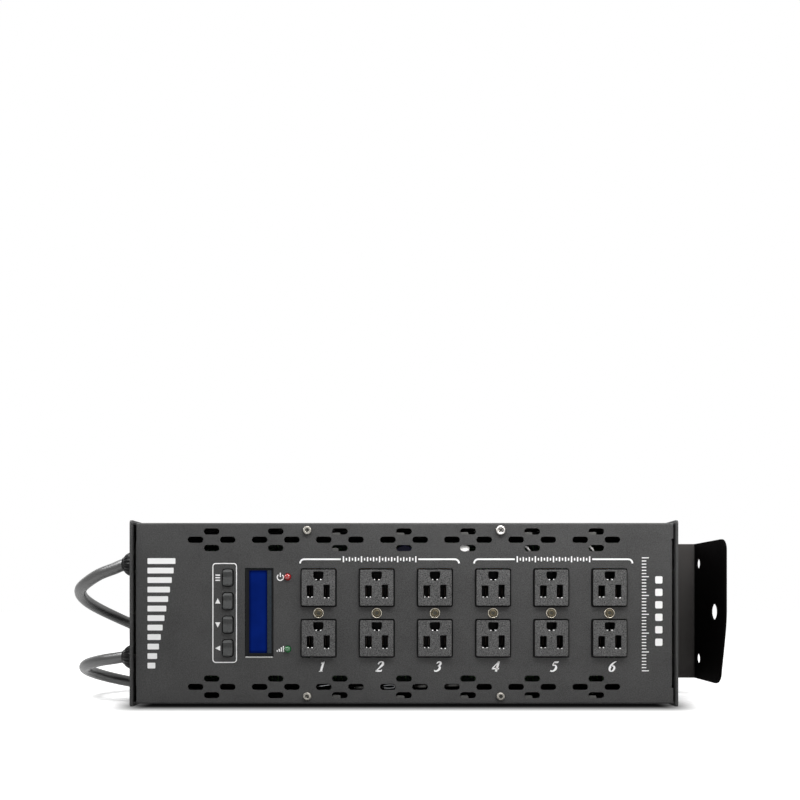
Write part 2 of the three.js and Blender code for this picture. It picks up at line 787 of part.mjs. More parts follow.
const latch_width = 8;
const latch_height = 4;
const latch_length = 9;
const latch_proud = 2;
const latch_travel = 1.5;
const latch_edge = 1;
const latch_rise = data_body_height / 2 - latch_height / 2 - latch_edge;
function dataOutlet() {
  const mouth = joint_gap + data_flange;
  const floor = mouth - data_cavity_depth;
  const ring = disc(0, 0, data_cavity_radius, 16);
  ring.holes = [new THREE.Path(disc(0, 0, data_insert_radius, 16).getPoints())];
  const holes = pinPlaces().map(([x, z]) => disc(x, z, pin_hole_radius, 8));
  const slot = block(
    [-latch_width / 2 - joint_gap, latch_width / 2 + joint_gap],
    [mouth + latch_proud - latch_length - latch_travel - joint_gap, mouth + overrun],
    [latch_rise - latch_height / 2 - joint_gap, latch_rise + latch_height / 2 + joint_gap],
  );
  return cut(
    dataShell(),
    alongY(ring, floor, mouth + overrun),
    alongY(holes, floor, mouth + overrun),
    slot,
  );
}

function dataLatch() {
  const mouth = joint_gap + data_flange;
  const tab = roundedRectangle(0, 0, latch_width, latch_height, face_bevel, 1);
  return alongY(tab, mouth + latch_proud - latch_length, mouth + latch_proud, face_bevel);
}

// Power board on posts from the back panel, with what it carries.
const power_gap = 8;
const power_margin = 10;
const power_post_inset = 7.5;
const wire_room = 11;
const bracket_room = 19;
const power_left = -plate_inner + breaker_depth + wire_room;
const power_right = plate_inner - bracket_room;
const power_low = shell_low + power_margin;
const power_high = shell_high - power_margin;
const power_back = back_inner - power_gap;
const power_front = power_back - board_thickness;
const power_seat = power_front - joint_gap;
function powerBoard() {
  const posts = [];
  const left = power_left + power_post_inset;
  const right = power_right - power_post_inset;
  for (const x of [left, (left + right) / 2, right]) {
    for (const z of [power_low + power_post_inset, power_high - power_post_inset]) {
      posts.push(disc(x, z, post_radius, 8));
    }
  }
  return join(
    block([power_left, power_right], [power_front, power_back], [power_low, power_high]),
    alongY(posts, power_front + board_thickness / 2, back_inner - joint_gap),
  );
}

const choke_radius = 17;
const choke_bore = 6.5;
const choke_thickness = 15;
const choke_round = 2.5;
const choke_edge = 10.5;
const choke_z = power_high - choke_edge - choke_radius;
function choke() {
  const half = choke_thickness / 2;
  const outer = choke_radius - choke_round;
  return turned([
    [choke_bore, -half],
    [outer, -half],
    [choke_radius, -half + choke_round],
    [choke_radius, half - choke_round],
    [outer, half],
    [choke_bore, half],
    [choke_bore, -half],
  ], 14);
}

const sink_base = 5;
const sink_edge = 10;
const sink_gap = 3;
const sink_low = power_low + sink_edge;
const sink_high = choke_z - choke_radius - sink_gap;
const sink_margin = 14;
const fin_count = 5;
const fin_thickness = 2;
const fin_length = 12;
const fin_gap = 2.5;
const triac_width = 10;
const triac_body = 9;
const triac_tab = 6.5;
const triac_thickness = 4.4;
const tab_thickness = 1.3;
const triac_legs = 7;
const triac_edge = 3;
const triac_z = sink_high - triac_edge - triac_tab - triac_body / 2;
const fin_top = triac_z - triac_body / 2 - triac_legs - fin_gap;
const fin_pitch = (fin_top - fin_thickness - sink_low) / (fin_count - 1);
const sink_front = power_seat - sink_base;
function heatSink() {
  const left = outlet_first_x - sink_margin;
  const right = outlet_first_x + outlet_pitch * (outlet_count - 1) + sink_margin;
  const base = block([left, right], [sink_front, power_seat], [sink_low, sink_high]);
  const fins = times(fin_count, (index) => {
    const low = sink_low + index * fin_pitch;
    return block([left, right], [sink_front - fin_length, sink_front + sink_base / 2],
      [low, low + fin_thickness]);
  });
  return join(base, ...fins);
}

// A triac on the heat sink: moulded body, metal tab and three legs.
function triac() {
  const half = triac_width / 2;
  const legs = [-leg_spacing, 0, leg_spacing].map((x) => (
    block([x - leg_size / 2, x + leg_size / 2],
      [-tab_thickness - leg_size, -tab_thickness],
      [-triac_body / 2 - triac_legs, -triac_body / 2 + leg_size])));
  const tab = block([-half, half], [-tab_thickness, 0], [-triac_body / 2, triac_body / 2 + triac_tab]);
  const moulding = block([-half, half], [-triac_thickness, 0], [-triac_body / 2, triac_body / 2]);
  return join(moulding, tab, ...legs);
}

const core_width = 38;
const core_height = 32;
const core_thickness = 14;
const winding_width = 24;
const winding_height = 24;
const winding_corner = 3;
const transformer_depth = 28;
const transformer_gap = 29;
const transformer_x = outlet_first_x - sink_margin - transformer_gap - core_width / 2;
function transformer() {
  const centre = power_seat - transformer_depth / 2;
  const winding = roundedRectangle(0, middle, winding_width, winding_height, winding_corner);
  return join(
    block([-core_width / 2, core_width / 2], [centre - core_thickness / 2, centre + core_thickness / 2],
      [middle - core_height / 2, middle + core_height / 2]),
    alongY(winding, power_seat - transformer_depth, power_seat),
  ).translate(transformer_x, 0, 0);
}

// Supply cords. A route's points are measured from its gland's mouth: out, down and round behind
// the case. The rest of the cord is a coil of two layers on the floor.
const cord_radius = cord_diameter / 2;
const lay_height = cord_radius + floor_gap;
const coil_pitch = cord_diameter + cord_lay_gap;
const mouth_x = -half_length - gland_reach;
const route_a = [
  [1.7, 0, 0], [-3, 0, 0], [-7, 0.1, -1.6], [-12, 0.6, -3.6], [-24, 2.8, -7.8], [-37.3, 10.4, -14.2],
  [-47.1, 22, -19.5], [-52.3, 36.4, -25], [-52.3, 51.6, -31], [-47.1, 66, -37.5], [-37.3, 77.7, -44.5],
  [-24, 85.3, -52], [-9, 88, -60], [11, 88, -71.5], [31, 88, -82.5], [51, 88, -92], [71, 88, -99.3],
  [91, 88, -103.9], [108, 88, -105.55], [122, 88, -105.7], [130, 88, -105.7], [138, 88, -105.7],
];
const route_b = [
  [1.7, 0, 0], [-3, 0, 0], [-7, 0.1, -0.6], [-12, 0.6, -1.4], [-22, 2.3, -2.9], [-33.4, 8.9, -5.6],
  [-41.9, 19, -8.8], [-46.4, 31.4, -12.4], [-46.4, 44.6, -16.4], [-41.9, 57, -20.6],
  [-33.4, 67.1, -24.6], [-22, 73.7, -28], [-9, 76, -30.4], [11, 76, -31.4], [40, 76, -31.5],
  [80, 76, -31.5], [120, 76, -31.5], [160, 76, -31.5], [200, 76, -31.5], [240, 76, -31.5],
  [268, 76, -31.5], [276, 76, -31.5], [284, 76, -31.5],
];

function leadCurve(route, mouth_z) {
  const points = route.map(([x, y, z]) => new THREE.Vector3(mouth_x + x, gland_y + y, mouth_z + z));
  return new THREE.CatmullRomCurve3(points, false, 'catmullrom', 0.5);
}

function tube(curve, sides, steps) {
  const section = disc(0, 0, cord_radius, sides);
  return new THREE.ExtrudeGeometry(section, { steps, extrudePath: curve, bevelEnabled: false });
}

// The coil's path: inwards on the floor, up a layer where the spiral reverses, outwards on top.
const coil_turn_points = 48;
const coil_turn_steps = 24;
const climb_share = 0.5;
const reverse_share = 0.06;
const straight_end = cord_diameter;
const coil_tail = 36;
const tail_steps = 4;
function coilPoints(start, turns, floor_turns, least_radius) {
  const reverse = floor_turns + climb_share / 2;
  const radiusAt = (turn) => (
    least_radius + coil_pitch * (Math.hypot(turn - reverse, reverse_share) - reverse_share));
  const centre_x = start.x + straight_end;
  const centre_y = start.y + radiusAt(0);
  const count = Math.round(turns * coil_turn_points);
  const points = [start.clone(), start.clone().setX(start.x + straight_end / 2)];
  for (let step = 0; step <= count; step += 1) {
    const turn = (step / count) * turns;
    const angle = 2 * Math.PI * turn - Math.PI / 2;
    const climb = THREE.MathUtils.smoothstep(turn, floor_turns, floor_turns + climb_share);
    points.push(new THREE.Vector3(
      centre_x + radiusAt(turn) * Math.cos(angle),
      centre_y + radiusAt(turn) * Math.sin(angle),
      start.z + coil_pitch * climb,
    ));
  }
  const heading = headingOf(turns);
  const last = points[points.length - 1];
  for (let step = 1; step <= tail_steps; step += 1) {
    points.push(last.clone().addScaledVector(heading, (coil_tail * step) / tail_steps));
  }
  return points;
}

function headingOf(turns) {
  const angle = 2 * Math.PI * turns;
  return new THREE.Vector3(Math.cos(angle), Math.sin(angle), 0);
}

// The coil takes the length that the lead leaves: its radius follows from that length.
function coilCurve(start, turns, floor_turns, length) {
  let radius = length / (2 * Math.PI * turns);
  let curve = null;
  for (let pass = 0; pass < 4; pass += 1) {
    const points = coilPoints(start, turns, floor_turns, radius);
    curve = new THREE.CatmullRomCurve3(points, false, 'catmullrom', 0.5);
    curve.arcLengthDivisions = 800;
    radius += (length - curve.getLength()) / (2 * Math.PI * turns);
  }
  return curve;
}

// The least gap between turns: points that lie more than half a turn apart along the cord.
const gap_samples = 400;
function leastGap(curve) {
  const points = curve.getSpacedPoints(gap_samples);
  const spacing = curve.getLength() / gap_samples;
  const apart = Math.ceil((Math.PI * 3 * cord_diameter) / spacing);
  let least = Infinity;
  for (let first = 0; first < points.length; first += 1) {
    for (let second = first + apart; second < points.length; second += 1) {
      least = Math.min(least, points[first].distanceTo(points[second]));
    }
  }
  return least - cord_diameter;
}

// A straight-blade plug along +X from the cord's end: sleeve, body, two blades and a ground pin.
const sleeve_length = 24;
const sleeve_gap = 0.3;
const sleeve_wall = 1.2;
const sleeve_flare = 2.4;
const sleeve_flare_share = 0.5;
const sleeve_end_radius = 10.8;
const plug_length = 32;
const plug_width = 36;
const plug_corner = 6;
const plug_bevel = 2;
const plug_height = 2 * (lay_height + coil_pitch) - 2 * floor_gap;
const blade_length = 17.5;
const blade_thickness = 1.5;
const blade_height = 6.4;
const wide_blade_height = 7.9;
const pin_reach = 20.5;
const pin_diameter = 4.8;
function plug() {
  const body_end = sleeve_gap + sleeve_length + plug_length;
  const sleeve = turned([
    [0, sleeve_gap],
    [cord_radius + sleeve_wall, sleeve_gap],
    [cord_radius + sleeve_flare, sleeve_gap + sleeve_length * sleeve_flare_share],
    [sleeve_end_radius, sleeve_gap + sleeve_length + face_bevel],
    [0, sleeve_gap + sleeve_length + face_bevel],
  ], 12).rotateZ(-Math.PI / 2);
  const body = alongX(roundedRectangle(0, 0, plug_width, plug_height, plug_corner),
    sleeve_gap + sleeve_length, body_end, plug_bevel);
  const blade_x = [body_end - overrun, body_end + blade_length];
  const half = blade_thickness / 2;
  const live = block(blade_x, [-blade_drop - blade_height / 2, -blade_drop + blade_height / 2],
    [-blade_offset - half, -blade_offset + half]);
  const neutral = block(blade_x, [-blade_drop - half, -blade_drop + half],
    [blade_offset - wide_blade_height / 2, blade_offset + wide_blade_height / 2]);
  const pin = alongX(disc(ground_rise, 0, pin_diameter / 2, 10), body_end - overrun, body_end + pin_reach);
  return join(sleeve, body, live, neutral, pin);
}

// A cord's lead, coil and plug, worked out from its route and number of turns.
function supplyCord(letter, route, mouth_z, turns, floor_turns) {
  const lead = leadCurve(route, mouth_z);
  const lead_length = lead.getLength();
  const end = lead.getPoint(1);
  const start = end.clone().setX(end.x + joint_gap);
  const wound = coilCurve(start, turns, floor_turns, cord_length - lead_length);
  console.log(`cord ${letter}: lead ${lead_length.toFixed(1)}, coil ${wound.getLength().toFixed(1)}, `
    + `least gap in the coil ${leastGap(wound).toFixed(2)}`);
  const lead_steps = Math.round(lead_length / (2 * cord_diameter));
  piece(`cord_${letter}_lead`, tube(lead, 8, lead_steps), cord_rubber);
  const coil_steps = Math.round((turns + climb_share / 2) * coil_turn_steps);
  piece(`cord_${letter}_coil`, tube(wound, 6, coil_steps), cord_rubber);
  const fitted = piece(`plug_${letter}`, plug(), cord_rubber);
  fitted.position.copy(wound.getPoint(1));
  fitted.rotation.z = 2 * Math.PI * turns;
}

// The assembly. What repeats has one shape and a place of its own.
const pack = new THREE.Group();
function piece(name, geometry, material, x = 0, y = 0, z = 0) {
  const mesh = new THREE.Mesh(geometry, material);
  mesh.name = name;
  mesh.position.set(x, y, z);
  pack.add(mesh);
  return mesh;
}

piece('front_cover', frontCover(), black_paint);
piece('rear_chassis', rearChassis(), black_paint);
piece('left_end_plate', leftEndPlate(), black_paint);
piece('right_end_plate', rightEndPlate(), black_paint);
piece('mounting_bracket', mountingBracket(), bracket_paint);

const screw_turn = 1.1;
const outlet = outletPair();
const outlet_screw = screw(outlet_head_radius, outlet_head_height, outlet_screw_radius,
  outlet_screw_length);
outlet_places.forEach((x, index) => {
  piece(`outlet_${index + 1}`, outlet, outlet_plastic, x, front, outlet_z);
  const fastener = piece(`outlet_screw_${index + 1}`, outlet_screw, nickel_screw, x, front, outlet_z);
  fastener.rotation.y = index * screw_turn;
});
const cover_screw = screw(cover_head_radius, cover_head_height, cover_screw_radius,
  cover_screw_length);
cover_screw_places.forEach(([x, z], index) => {
  const fastener = piece(`cover_screw_${index + 1}`, cover_screw, zinc_steel, x, front, z);
  fastener.rotation.y = (index + 0.5) * screw_turn;
});

piece('display_frame', displayFrame(), black_plastic);
piece('display_glass', displayGlass(), blue_glass);
piece('control_board', controlBoard(), board_green);
['button_menu', 'button_up', 'button_down', 'button_back'].forEach((name, index) => {
  piece(name, buttonPiece(), button_plastic, button_x, front, button_places[index]);
});
piece('power_led', indicatorLamp(), red_lamp, lamp_x, front, lamp_places[0]);
piece('signal_led', indicatorLamp(), green_lamp, lamp_x, front, lamp_places[1]);

// What passes through the left end plate is turned to point out of it.
const services = new THREE.Group();
services.position.set(-half_length, 0, 0);
services.rotation.z = Math.PI / 2;
pack.add(services);
function service(name, geometry, material, y, z) {
  services.add(piece(name, geometry, material, y, 0, z));
}
service('cord_gland_a', cordGland(), black_plastic, gland_y, gland_places[0]);
service('cord_gland_b', cordGland(), black_plastic, gland_y, gland_places[1]);
['a', 'b'].forEach((letter, index) => {
  service(`breaker_${letter}`, breaker(), black_plastic, service_y, breaker_places[index]);
  service(`breaker_button_${letter}`, breakerButton(), white_plastic, service_y, breaker_places[index]);
});
service('data_inlet', dataInlet(), zinc_steel, service_y, data_places[0]);
service('data_outlet', dataOutlet(), zinc_steel, service_y, data_places[1]);
service('data_latch', dataLatch(), black_plastic, service_y, data_places[1] + latch_rise);

piece('power_board', powerBoard(), board_green);
piece('heat_sink', heatSink(), bright_aluminium);
piece('transformer', transformer(), core_steel);
outlet_places.forEach((x, index) => {
  piece(`triac_${index + 1}`, triac(), black_plastic, x, sink_front - joint_gap, triac_z);
  piece(`choke_${index + 1}`, choke(), choke_coating, x, power_seat - choke_thickness / 2, choke_z);
});

supplyCord('a', route_a, gland_places[0], 3.625, 1.65);
supplyCord('b', route_b, gland_places[1], 3, 1.4);

// The origin is under the middle of the object's box, measured without the cords.
const right_edge = half_length + bracket_width;
const left_edge = -half_length - breaker_neck - breaker_button_out;
const front_edge = front - Math.max(face_proud, lamp_dome, button_proud, plate_overhang);
const back_edge = back + plate_overhang;
pack.position.set(-(left_edge + right_edge) / 2, -(front_edge + back_edge) / 2, 0);

export default pack;
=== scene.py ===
"""Looks of a dimmer pack for stage lamps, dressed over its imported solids.

Sizes are in millimetres, in the case's own coordinates: X from the middle of the case towards the
bracket, Y from the middle of its depth towards the back, Z from the floor. A finished piece is
turned into metres and moved into the shared frame when it is delivered.
"""

import logging
import math
from contextlib import contextmanager
from dataclasses import dataclass, field
from enum import Enum
from typing import Callable, Iterator, List, Mapping, Optional, Sequence, Tuple, Union

import bmesh
import bpy
from mathutils import Matrix, Vector


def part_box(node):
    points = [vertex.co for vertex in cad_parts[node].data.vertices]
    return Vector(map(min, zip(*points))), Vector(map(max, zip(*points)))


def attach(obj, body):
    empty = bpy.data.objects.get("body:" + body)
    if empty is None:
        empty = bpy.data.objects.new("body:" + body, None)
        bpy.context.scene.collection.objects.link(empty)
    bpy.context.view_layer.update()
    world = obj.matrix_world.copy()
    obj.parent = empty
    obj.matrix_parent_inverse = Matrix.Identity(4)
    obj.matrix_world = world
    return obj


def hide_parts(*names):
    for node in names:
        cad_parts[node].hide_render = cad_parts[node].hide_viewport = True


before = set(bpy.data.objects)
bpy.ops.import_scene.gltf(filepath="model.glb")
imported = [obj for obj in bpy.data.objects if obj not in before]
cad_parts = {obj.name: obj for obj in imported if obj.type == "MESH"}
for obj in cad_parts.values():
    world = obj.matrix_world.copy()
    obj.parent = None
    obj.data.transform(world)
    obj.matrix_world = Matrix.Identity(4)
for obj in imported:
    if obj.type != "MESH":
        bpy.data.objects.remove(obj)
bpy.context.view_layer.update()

LOG = logging.getLogger("dimmer_pack")
MM = 0.001
FRONT, LEFT = (0, -1, 0), (-1, 0, 0)
Point = Sequence[float]
Points = Sequence[Point]


@dataclass(frozen=True)
class CaseFrame:
    """The case's own coordinates. Its middle is given in the shared frame's metres."""

    middle_x: float
    middle_y: float

    @classmethod
    def read(cls) -> "CaseFrame":
        """Finds the case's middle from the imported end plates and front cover."""
        left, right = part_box("left_end_plate")[0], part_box("right_end_plate")[1]
        low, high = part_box("front_cover")
        return cls((left.x + right.x) / 2, (low.y + high.y) / 2)

    def matrix(self) -> Matrix:
        """The matrix from the case's millimetres to the shared frame's metres."""
        return Matrix.Translation((self.middle_x, self.middle_y, 0)) @ Matrix.Scale(MM, 4)

    def box(self, node: str) -> Tuple[Vector, Vector]:
        """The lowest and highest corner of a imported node, in millimetres."""
        low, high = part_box(node)
        return self.matrix().inverted() @ low, self.matrix().inverted() @ high

    def centre(self, node: str) -> Vector:
        """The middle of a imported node's box, in millimetres."""
        low, high = self.box(node)
        return (low + high) / 2


CASE = CaseFrame.read()
COVER_LOW, COVER_HIGH = CASE.box("front_cover")
PANEL = COVER_LOW.y
OUTLETS = [f"outlet_{index}" for index in range(1, 7)]
BUTTONS = [f"button_{name}" for name in ("menu", "up", "down", "back")]
LAMPS = ["power_led", "signal_led"]


class Along(Enum):
    """One of the three directions of the case."""

    X = 0
    Y = 1
    Z = 2


class Pick(Enum):
    """What is picked in edit mode, with its name in a mesh."""

    VERT = "verts"
    EDGE = "edges"
    FACE = "faces"


def arc(middle: Point, radius: float, start: float, end: float, steps: int) -> List[Point]:
    """Places points along an arc.

    Args:
        middle: the arc's middle.
        radius: its radius.
        start: the angle of its first point, in degrees.
        end: the angle of its last point.
        steps: how many stretches lie between the points.

    Returns:
        The points.
    """
    stretch = (end - start) / (steps or 1)
    angles = [math.radians(start + stretch * step) for step in range(steps + 1)]
    return [(middle[0] + radius * math.cos(angle), middle[1] + radius * math.sin(angle))
            for angle in angles]


def operator(operation: str, swapped: bool = False) -> Callable[["Value", "Number"], "Value"]:
    """Makes one of the operators of Value.

    Args:
        operation: what the Math node does.
        swapped: whether the other value comes first.

    Returns:
        A method that adds the Math node.
    """
    def operate(value: "Value", other: "Number") -> "Value":
        """Adds one Math node."""
        first, second = (other, value) if swapped else (value, other)
        return value.shader.node("Math", {0: first, 1: second}, operation=operation)

    return operate


class Value:
    """A number that varies over a surface: a socket that takes Python's operators."""

    __add__ = __radd__ = operator("ADD")
    __sub__ = operator("SUBTRACT")
    __rsub__ = operator("SUBTRACT", swapped=True)
    __mul__ = __rmul__ = operator("MULTIPLY")
    __mod__ = operator("FLOORED_MODULO")
    __gt__ = operator("GREATER_THAN")
    __lt__ = operator("LESS_THAN")

    def __init__(self, shader: "Shader", socket: bpy.types.NodeSocket) -> None:
        """Keeps the socket and the shader that it belongs to."""
        self.shader = shader
        self.socket = socket

    def __abs__(self) -> "Value":
        """This value without its sign."""
        return self.shader.node("Math", {0: self}, operation="ABSOLUTE")


Number = Union[Value, float]


class Shader:
    """One material's nodes."""

    def __init__(self, name: str, tree: Optional[bpy.types.NodeTree] = None) -> None:
        """Starts a material with a Principled shader, or adds to a tree such as the world's.

        Args:
            name: the material's name.
            tree: the tree, where one exists.
        """
        if tree is None:
            self.material = bpy.data.materials.new(name)
            self.material.use_nodes = True
            tree = self.material.node_tree
            self.principled = tree.nodes["Principled BSDF"]
        self.tree = tree

    def node(
        self, kind: str, inputs: Mapping[Union[int, str], object], output: Union[int, str] = 0,
        **settings: object,
    ) -> Value:
        """Adds a node.

        Args:
            kind: the node's type, without its prefix.
            inputs: a value or link for each numbered or named socket.
            output: the socket to return.
            settings: the node's own settings, which are set first.

        Returns:
            That socket as a value.
        """
        made = self.tree.nodes.new(f"ShaderNode{kind}")
        for key, value in settings.items():
            setattr(made, key, value)
        for key, value in inputs.items():
            self.give(made.inputs[key], value)
        return Value(self, made.outputs[output])

    def give(self, socket: bpy.types.NodeSocket, value: object) -> None:
        """Links a value to a socket, or sets the socket's own number or colour.

        Args:
            socket: the socket.
            value: what it gets.
        """
        if isinstance(value, Value):
            self.tree.links.new(value.socket, socket)
        else:
            socket.default_value = value

    def set(self, **inputs: object) -> None:
        """Gives the Principled shader its inputs, with underscores for spaces in their names."""
        for key, value in inputs.items():
            self.give(self.principled.inputs[key.replace("_", " ")], value)

    def place(self, stretch: Point = (1, 1, 1), origin: Point = (0, 0, 0)) -> Value:
        """A point on the piece, in millimetres.

        Args:
            stretch: how much the pattern is squeezed along each direction.
            origin: the pattern's origin, in the shared frame's metres.

        Returns:
            The point as a vector.
        """
        scale = [share / MM for share in stretch]
        shift = [-place * share for place, share in zip(origin, scale)]
        spot = self.node("TexCoord", {}, "Object")
        return self.node("Mapping", {"Vector": spot, "Location": shift, "Scale": scale})

    def noise(self, place: Value, width: float, detail: float = 2) -> Value:
        """Noise about zero, from -1 to 1, whose blots are so many millimetres wide."""
        raw = self.node("TexNoise", {"Vector": place, "Scale": 1 / width, "Detail": detail})
        return (raw - 0.5) * 3.2

    def rise(
        self, value: Value, start: float, end: float, low: float = 0, high: float = 1
    ) -> Value:
        """Turns a value between start and end smoothly into one between low and high."""
        inputs = {"Value": value, "From Min": start, "From Max": end, "To Min": low, "To Max": high}
        return self.node("MapRange", inputs, interpolation_type="SMOOTHSTEP")

    def seen(self) -> Value:
        """One for a ray that comes from the camera, a mirror or glass, else zero."""
        rays = self.node("LightPath", {}, "Is Camera Ray")
        hidden = 1 - rays
        for name in ("Is Glossy Ray", "Is Transmission Ray"):
            hidden = hidden * (1 - Value(self, rays.socket.node.outputs[name]))
        return 1 - hidden

    def vector(self, operation: str, *inputs: object, output: Union[int, str] = 0) -> Value:
        """Adds one Vector Math node."""
        return self.node("VectorMath", dict(enumerate(inputs)), output, operation=operation)

    def part(self, vector: Value, along: Along) -> Value:
        """One coordinate of a vector."""
        return self.node("SeparateXYZ", {0: vector}, along.value)

    def tinted(self, colour: Point, tone: Value) -> Value:
        """A colour made lighter or darker by a tone about one."""
        return self.node("VectorMath", {0: colour, "Scale": tone}, operation="SCALE")

    def mixed(self, share: Value, first: object, second: object) -> Value:
        """Lays one colour over another.

        Args:
            share: how much of the second colour shows.
            first: a colour, or a value that holds one.
            second: the other colour.

        Returns:
            The mixture.
        """
        first, second = (
            colour if isinstance(colour, Value) else (*colour, 1) for colour in (first, second))
        return self.node("Mix", {0: share, 6: first, 7: second}, 2, data_type="RGBA")

    def bump(self, height: Value, depth: float) -> Value:
        """A normal from a height between -1 and 1, of a depth in millimetres."""
        return self.node("Bump", {"Strength": 1.0, "Distance": depth * MM, "Height": height})


def rgb(code: str) -> Point:
    """Turns a screen colour such as 1c4a2e into the linear numbers that a shader takes.

    Args:
        code: the colour's six digits.

    Returns:
        Its red, green and blue.
    """
    shares = (int(code[start:start + 2], 16) / 255 for start in (0, 2, 4))
    return tuple(share / 12.92 if share <= 0.04045 else ((share + 0.055) / 1.055) ** 2.4
                 for share in shares)


@dataclass(frozen=True)
class Finish:
    """A finish with fine grain, broad patches and a little relief. Colours are screen colours.

    The shares speckle and mottle say how far the colour strays with the grain and the patches, and
    polish how far the roughness strays with the patches. A lamp or display has light of its own.
    """

    name: str
    colour: str
    roughness: float = 0.5
    metallic: float = 0.0
    specular: float = 0.5
    coat: float = 0.0
    grain: float = 0.5
    patch: float = 18.0
    relief: float = 0.01
    speckle: float = 0.08
    mottle: float = 0.08
    polish: float = 0.05
    stretch: Point = (1, 1, 1)
    light: str = ""

    def material(self) -> bpy.types.Material:
        """The material, built at first, under a name unlike any that came with the frame."""
        name = f"finish_{self.name}"
        return bpy.data.materials.get(name) or self.build(Shader(name))

    def build(self, shader: Shader) -> bpy.types.Material:
        """Builds the material.

        Args:
            shader: the new material's shader.

        Returns:
            The material.
        """
        place = shader.place(self.stretch)
        fine, broad = shader.noise(place, self.grain, 4), shader.noise(place, self.patch)
        tone = self.toned(shader, 1 + fine * self.speckle + broad * self.mottle)
        shader.set(
            Metallic=self.metallic, Specular_IOR_Level=self.specular, Coat_Weight=self.coat,
            Roughness=self.roughness + broad * self.polish,
            Base_Color=self.coloured(shader, place, tone), Normal=shader.bump(fine, self.relief))
        if self.light:
            shader.set(Emission_Color=shader.tinted(rgb(self.light), tone), Emission_Strength=1.0)
        return shader.material

    def toned(self, shader: Shader, tone: Value) -> Value:
        """The tone of colour and light."""
        return tone

    def coloured(self, shader: Shader, place: Value, tone: Value) -> Value:
        """The base colour under its tone."""
        return shader.tinted(rgb(self.colour), tone)


@dataclass(frozen=True)
class PaneFinish(Finish):
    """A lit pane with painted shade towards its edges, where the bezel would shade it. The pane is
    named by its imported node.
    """

    node: str = "display_glass"
    edge_shade: float = 0.55
    edge_shade_widths: Point = (2.2, 3.0)

    def toned(self, shader: Shader, tone: Value) -> Value:
        """Paints shade into the tone, and so into the light, near the pane's edges.

        Args:
            shader: the material's shader.
            tone: the tone so far.

        Returns:
            The darker tone.
        """
        low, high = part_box(self.node)
        place = shader.place(origin=(low + high) / 2)
        half = (high - low) / 2 / MM
        for along, width in zip((Along.X, Along.Z), self.edge_shade_widths):
            reach = half[along.value]
            out = abs(shader.part(place, along))
            tone = tone * shader.rise(out, reach - width, reach, 1.0, 1 - self.edge_shade)
        return tone


@dataclass(frozen=True)
class ScrewFinish(Finish):
    """Plated metal, darkened in its recess by a mesh attribute: painted shade."""

    grime: Point = (0.05, 0.05, 0.045)

    def coloured(self, shader: Shader, place: Value, tone: Value) -> Value:
        """Lays painted shade over the plating in the recess."""
        share = shader.node("Attribute", {}, "Fac", attribute_name="grime")
        return shader.mixed(share, super().coloured(shader, place, tone), self.grime)


@dataclass(frozen=True)
class BoardFinish(Finish):
    """Lacquered board with copper tracks under the lacquer."""

    track: Point = (0.09, 0.2, 0.08)
    pitch: float = 5.0
    track_share: float = 0.3

    def coloured(self, shader: Shader, place: Value, tone: Value) -> Value:
        """Lays a grid of tracks, broken by patches, over the lacquer.

        Args:
            shader: the material's shader.
            place: the point on the board.
            tone: the lacquer's tone.

        Returns:
            The colour.
        """
        across, up = (
            shader.part(place, along) % self.pitch < self.pitch * self.track_share
            for along in (Along.X, Along.Z))
        broken = shader.noise(place, self.pitch * 3) > 0
        tracks = broken * across + (1 - broken) * up
        return shader.mixed(tracks, super().coloured(shader, place, tone), self.track)


@dataclass(frozen=True)
class BracketFinish(Finish):
    """Paint with painted shade: grey on the web, near-black on the flange, which faces the case in
    shade.
    """

    flange_shade: Point = (0.0015, 0.0012, 0.0012)
    border: Point = (32.0, 34.5)

    def coloured(self, shader: Shader, place: Value, tone: Value) -> Value:
        """Paints shade on the flange: mixes the paint with near-black along the bracket.

        Args:
            shader: the material's shader.
            place: the point on the piece.
            tone: the paint's tone.

        Returns:
            The colour.
        """
        # Past the border the flange gets painted shade.
        spot = shader.place(origin=CASE.matrix().translation)
        share = shader.rise(shader.part(spot, Along.Y), *self.border, 1, 0)
        return shader.mixed(share, super().coloured(shader, place, tone), self.flange_shade)


POWDER_COAT = Finish(
    "powder_coat", "414141", 0.46, grain=0.7, relief=0.02, speckle=0.5, mottle=0.12, patch=24.0,
    specular=0.12)
BRACKET_COAT = BracketFinish(
    "bracket_coat", "464443", 0.7, grain=0.7, relief=0.012, speckle=0.2, mottle=0.06, specular=0.02)
OUTLET_PLASTIC = Finish(
    "outlet_plastic", "4b4b4b", 0.6, grain=0.85, relief=0.06, speckle=1.2, mottle=0.15,
    specular=0.2)
BUTTON_PLASTIC = Finish(
    "button_plastic", "3f4040", 0.45, grain=0.8, relief=0.012, speckle=0.4, specular=0.2)
BLACK_PLASTIC = Finish("black_plastic", "0a0a0b", grain=0.4, relief=0.006, specular=0.15)
GLAND_PLASTIC = Finish("gland_plastic", "050506", 0.24, relief=0.003, specular=0.1)
BEZEL_PLASTIC = Finish(
    "bezel_plastic", "0e0f11", 0.45, grain=0.6, relief=0.004, speckle=0.1, specular=0.1)
DISPLAY_MARGIN = Finish(
    "display_margin", "282e34", 0.4, grain=2.0, relief=0.002, speckle=0.3, specular=0.12)
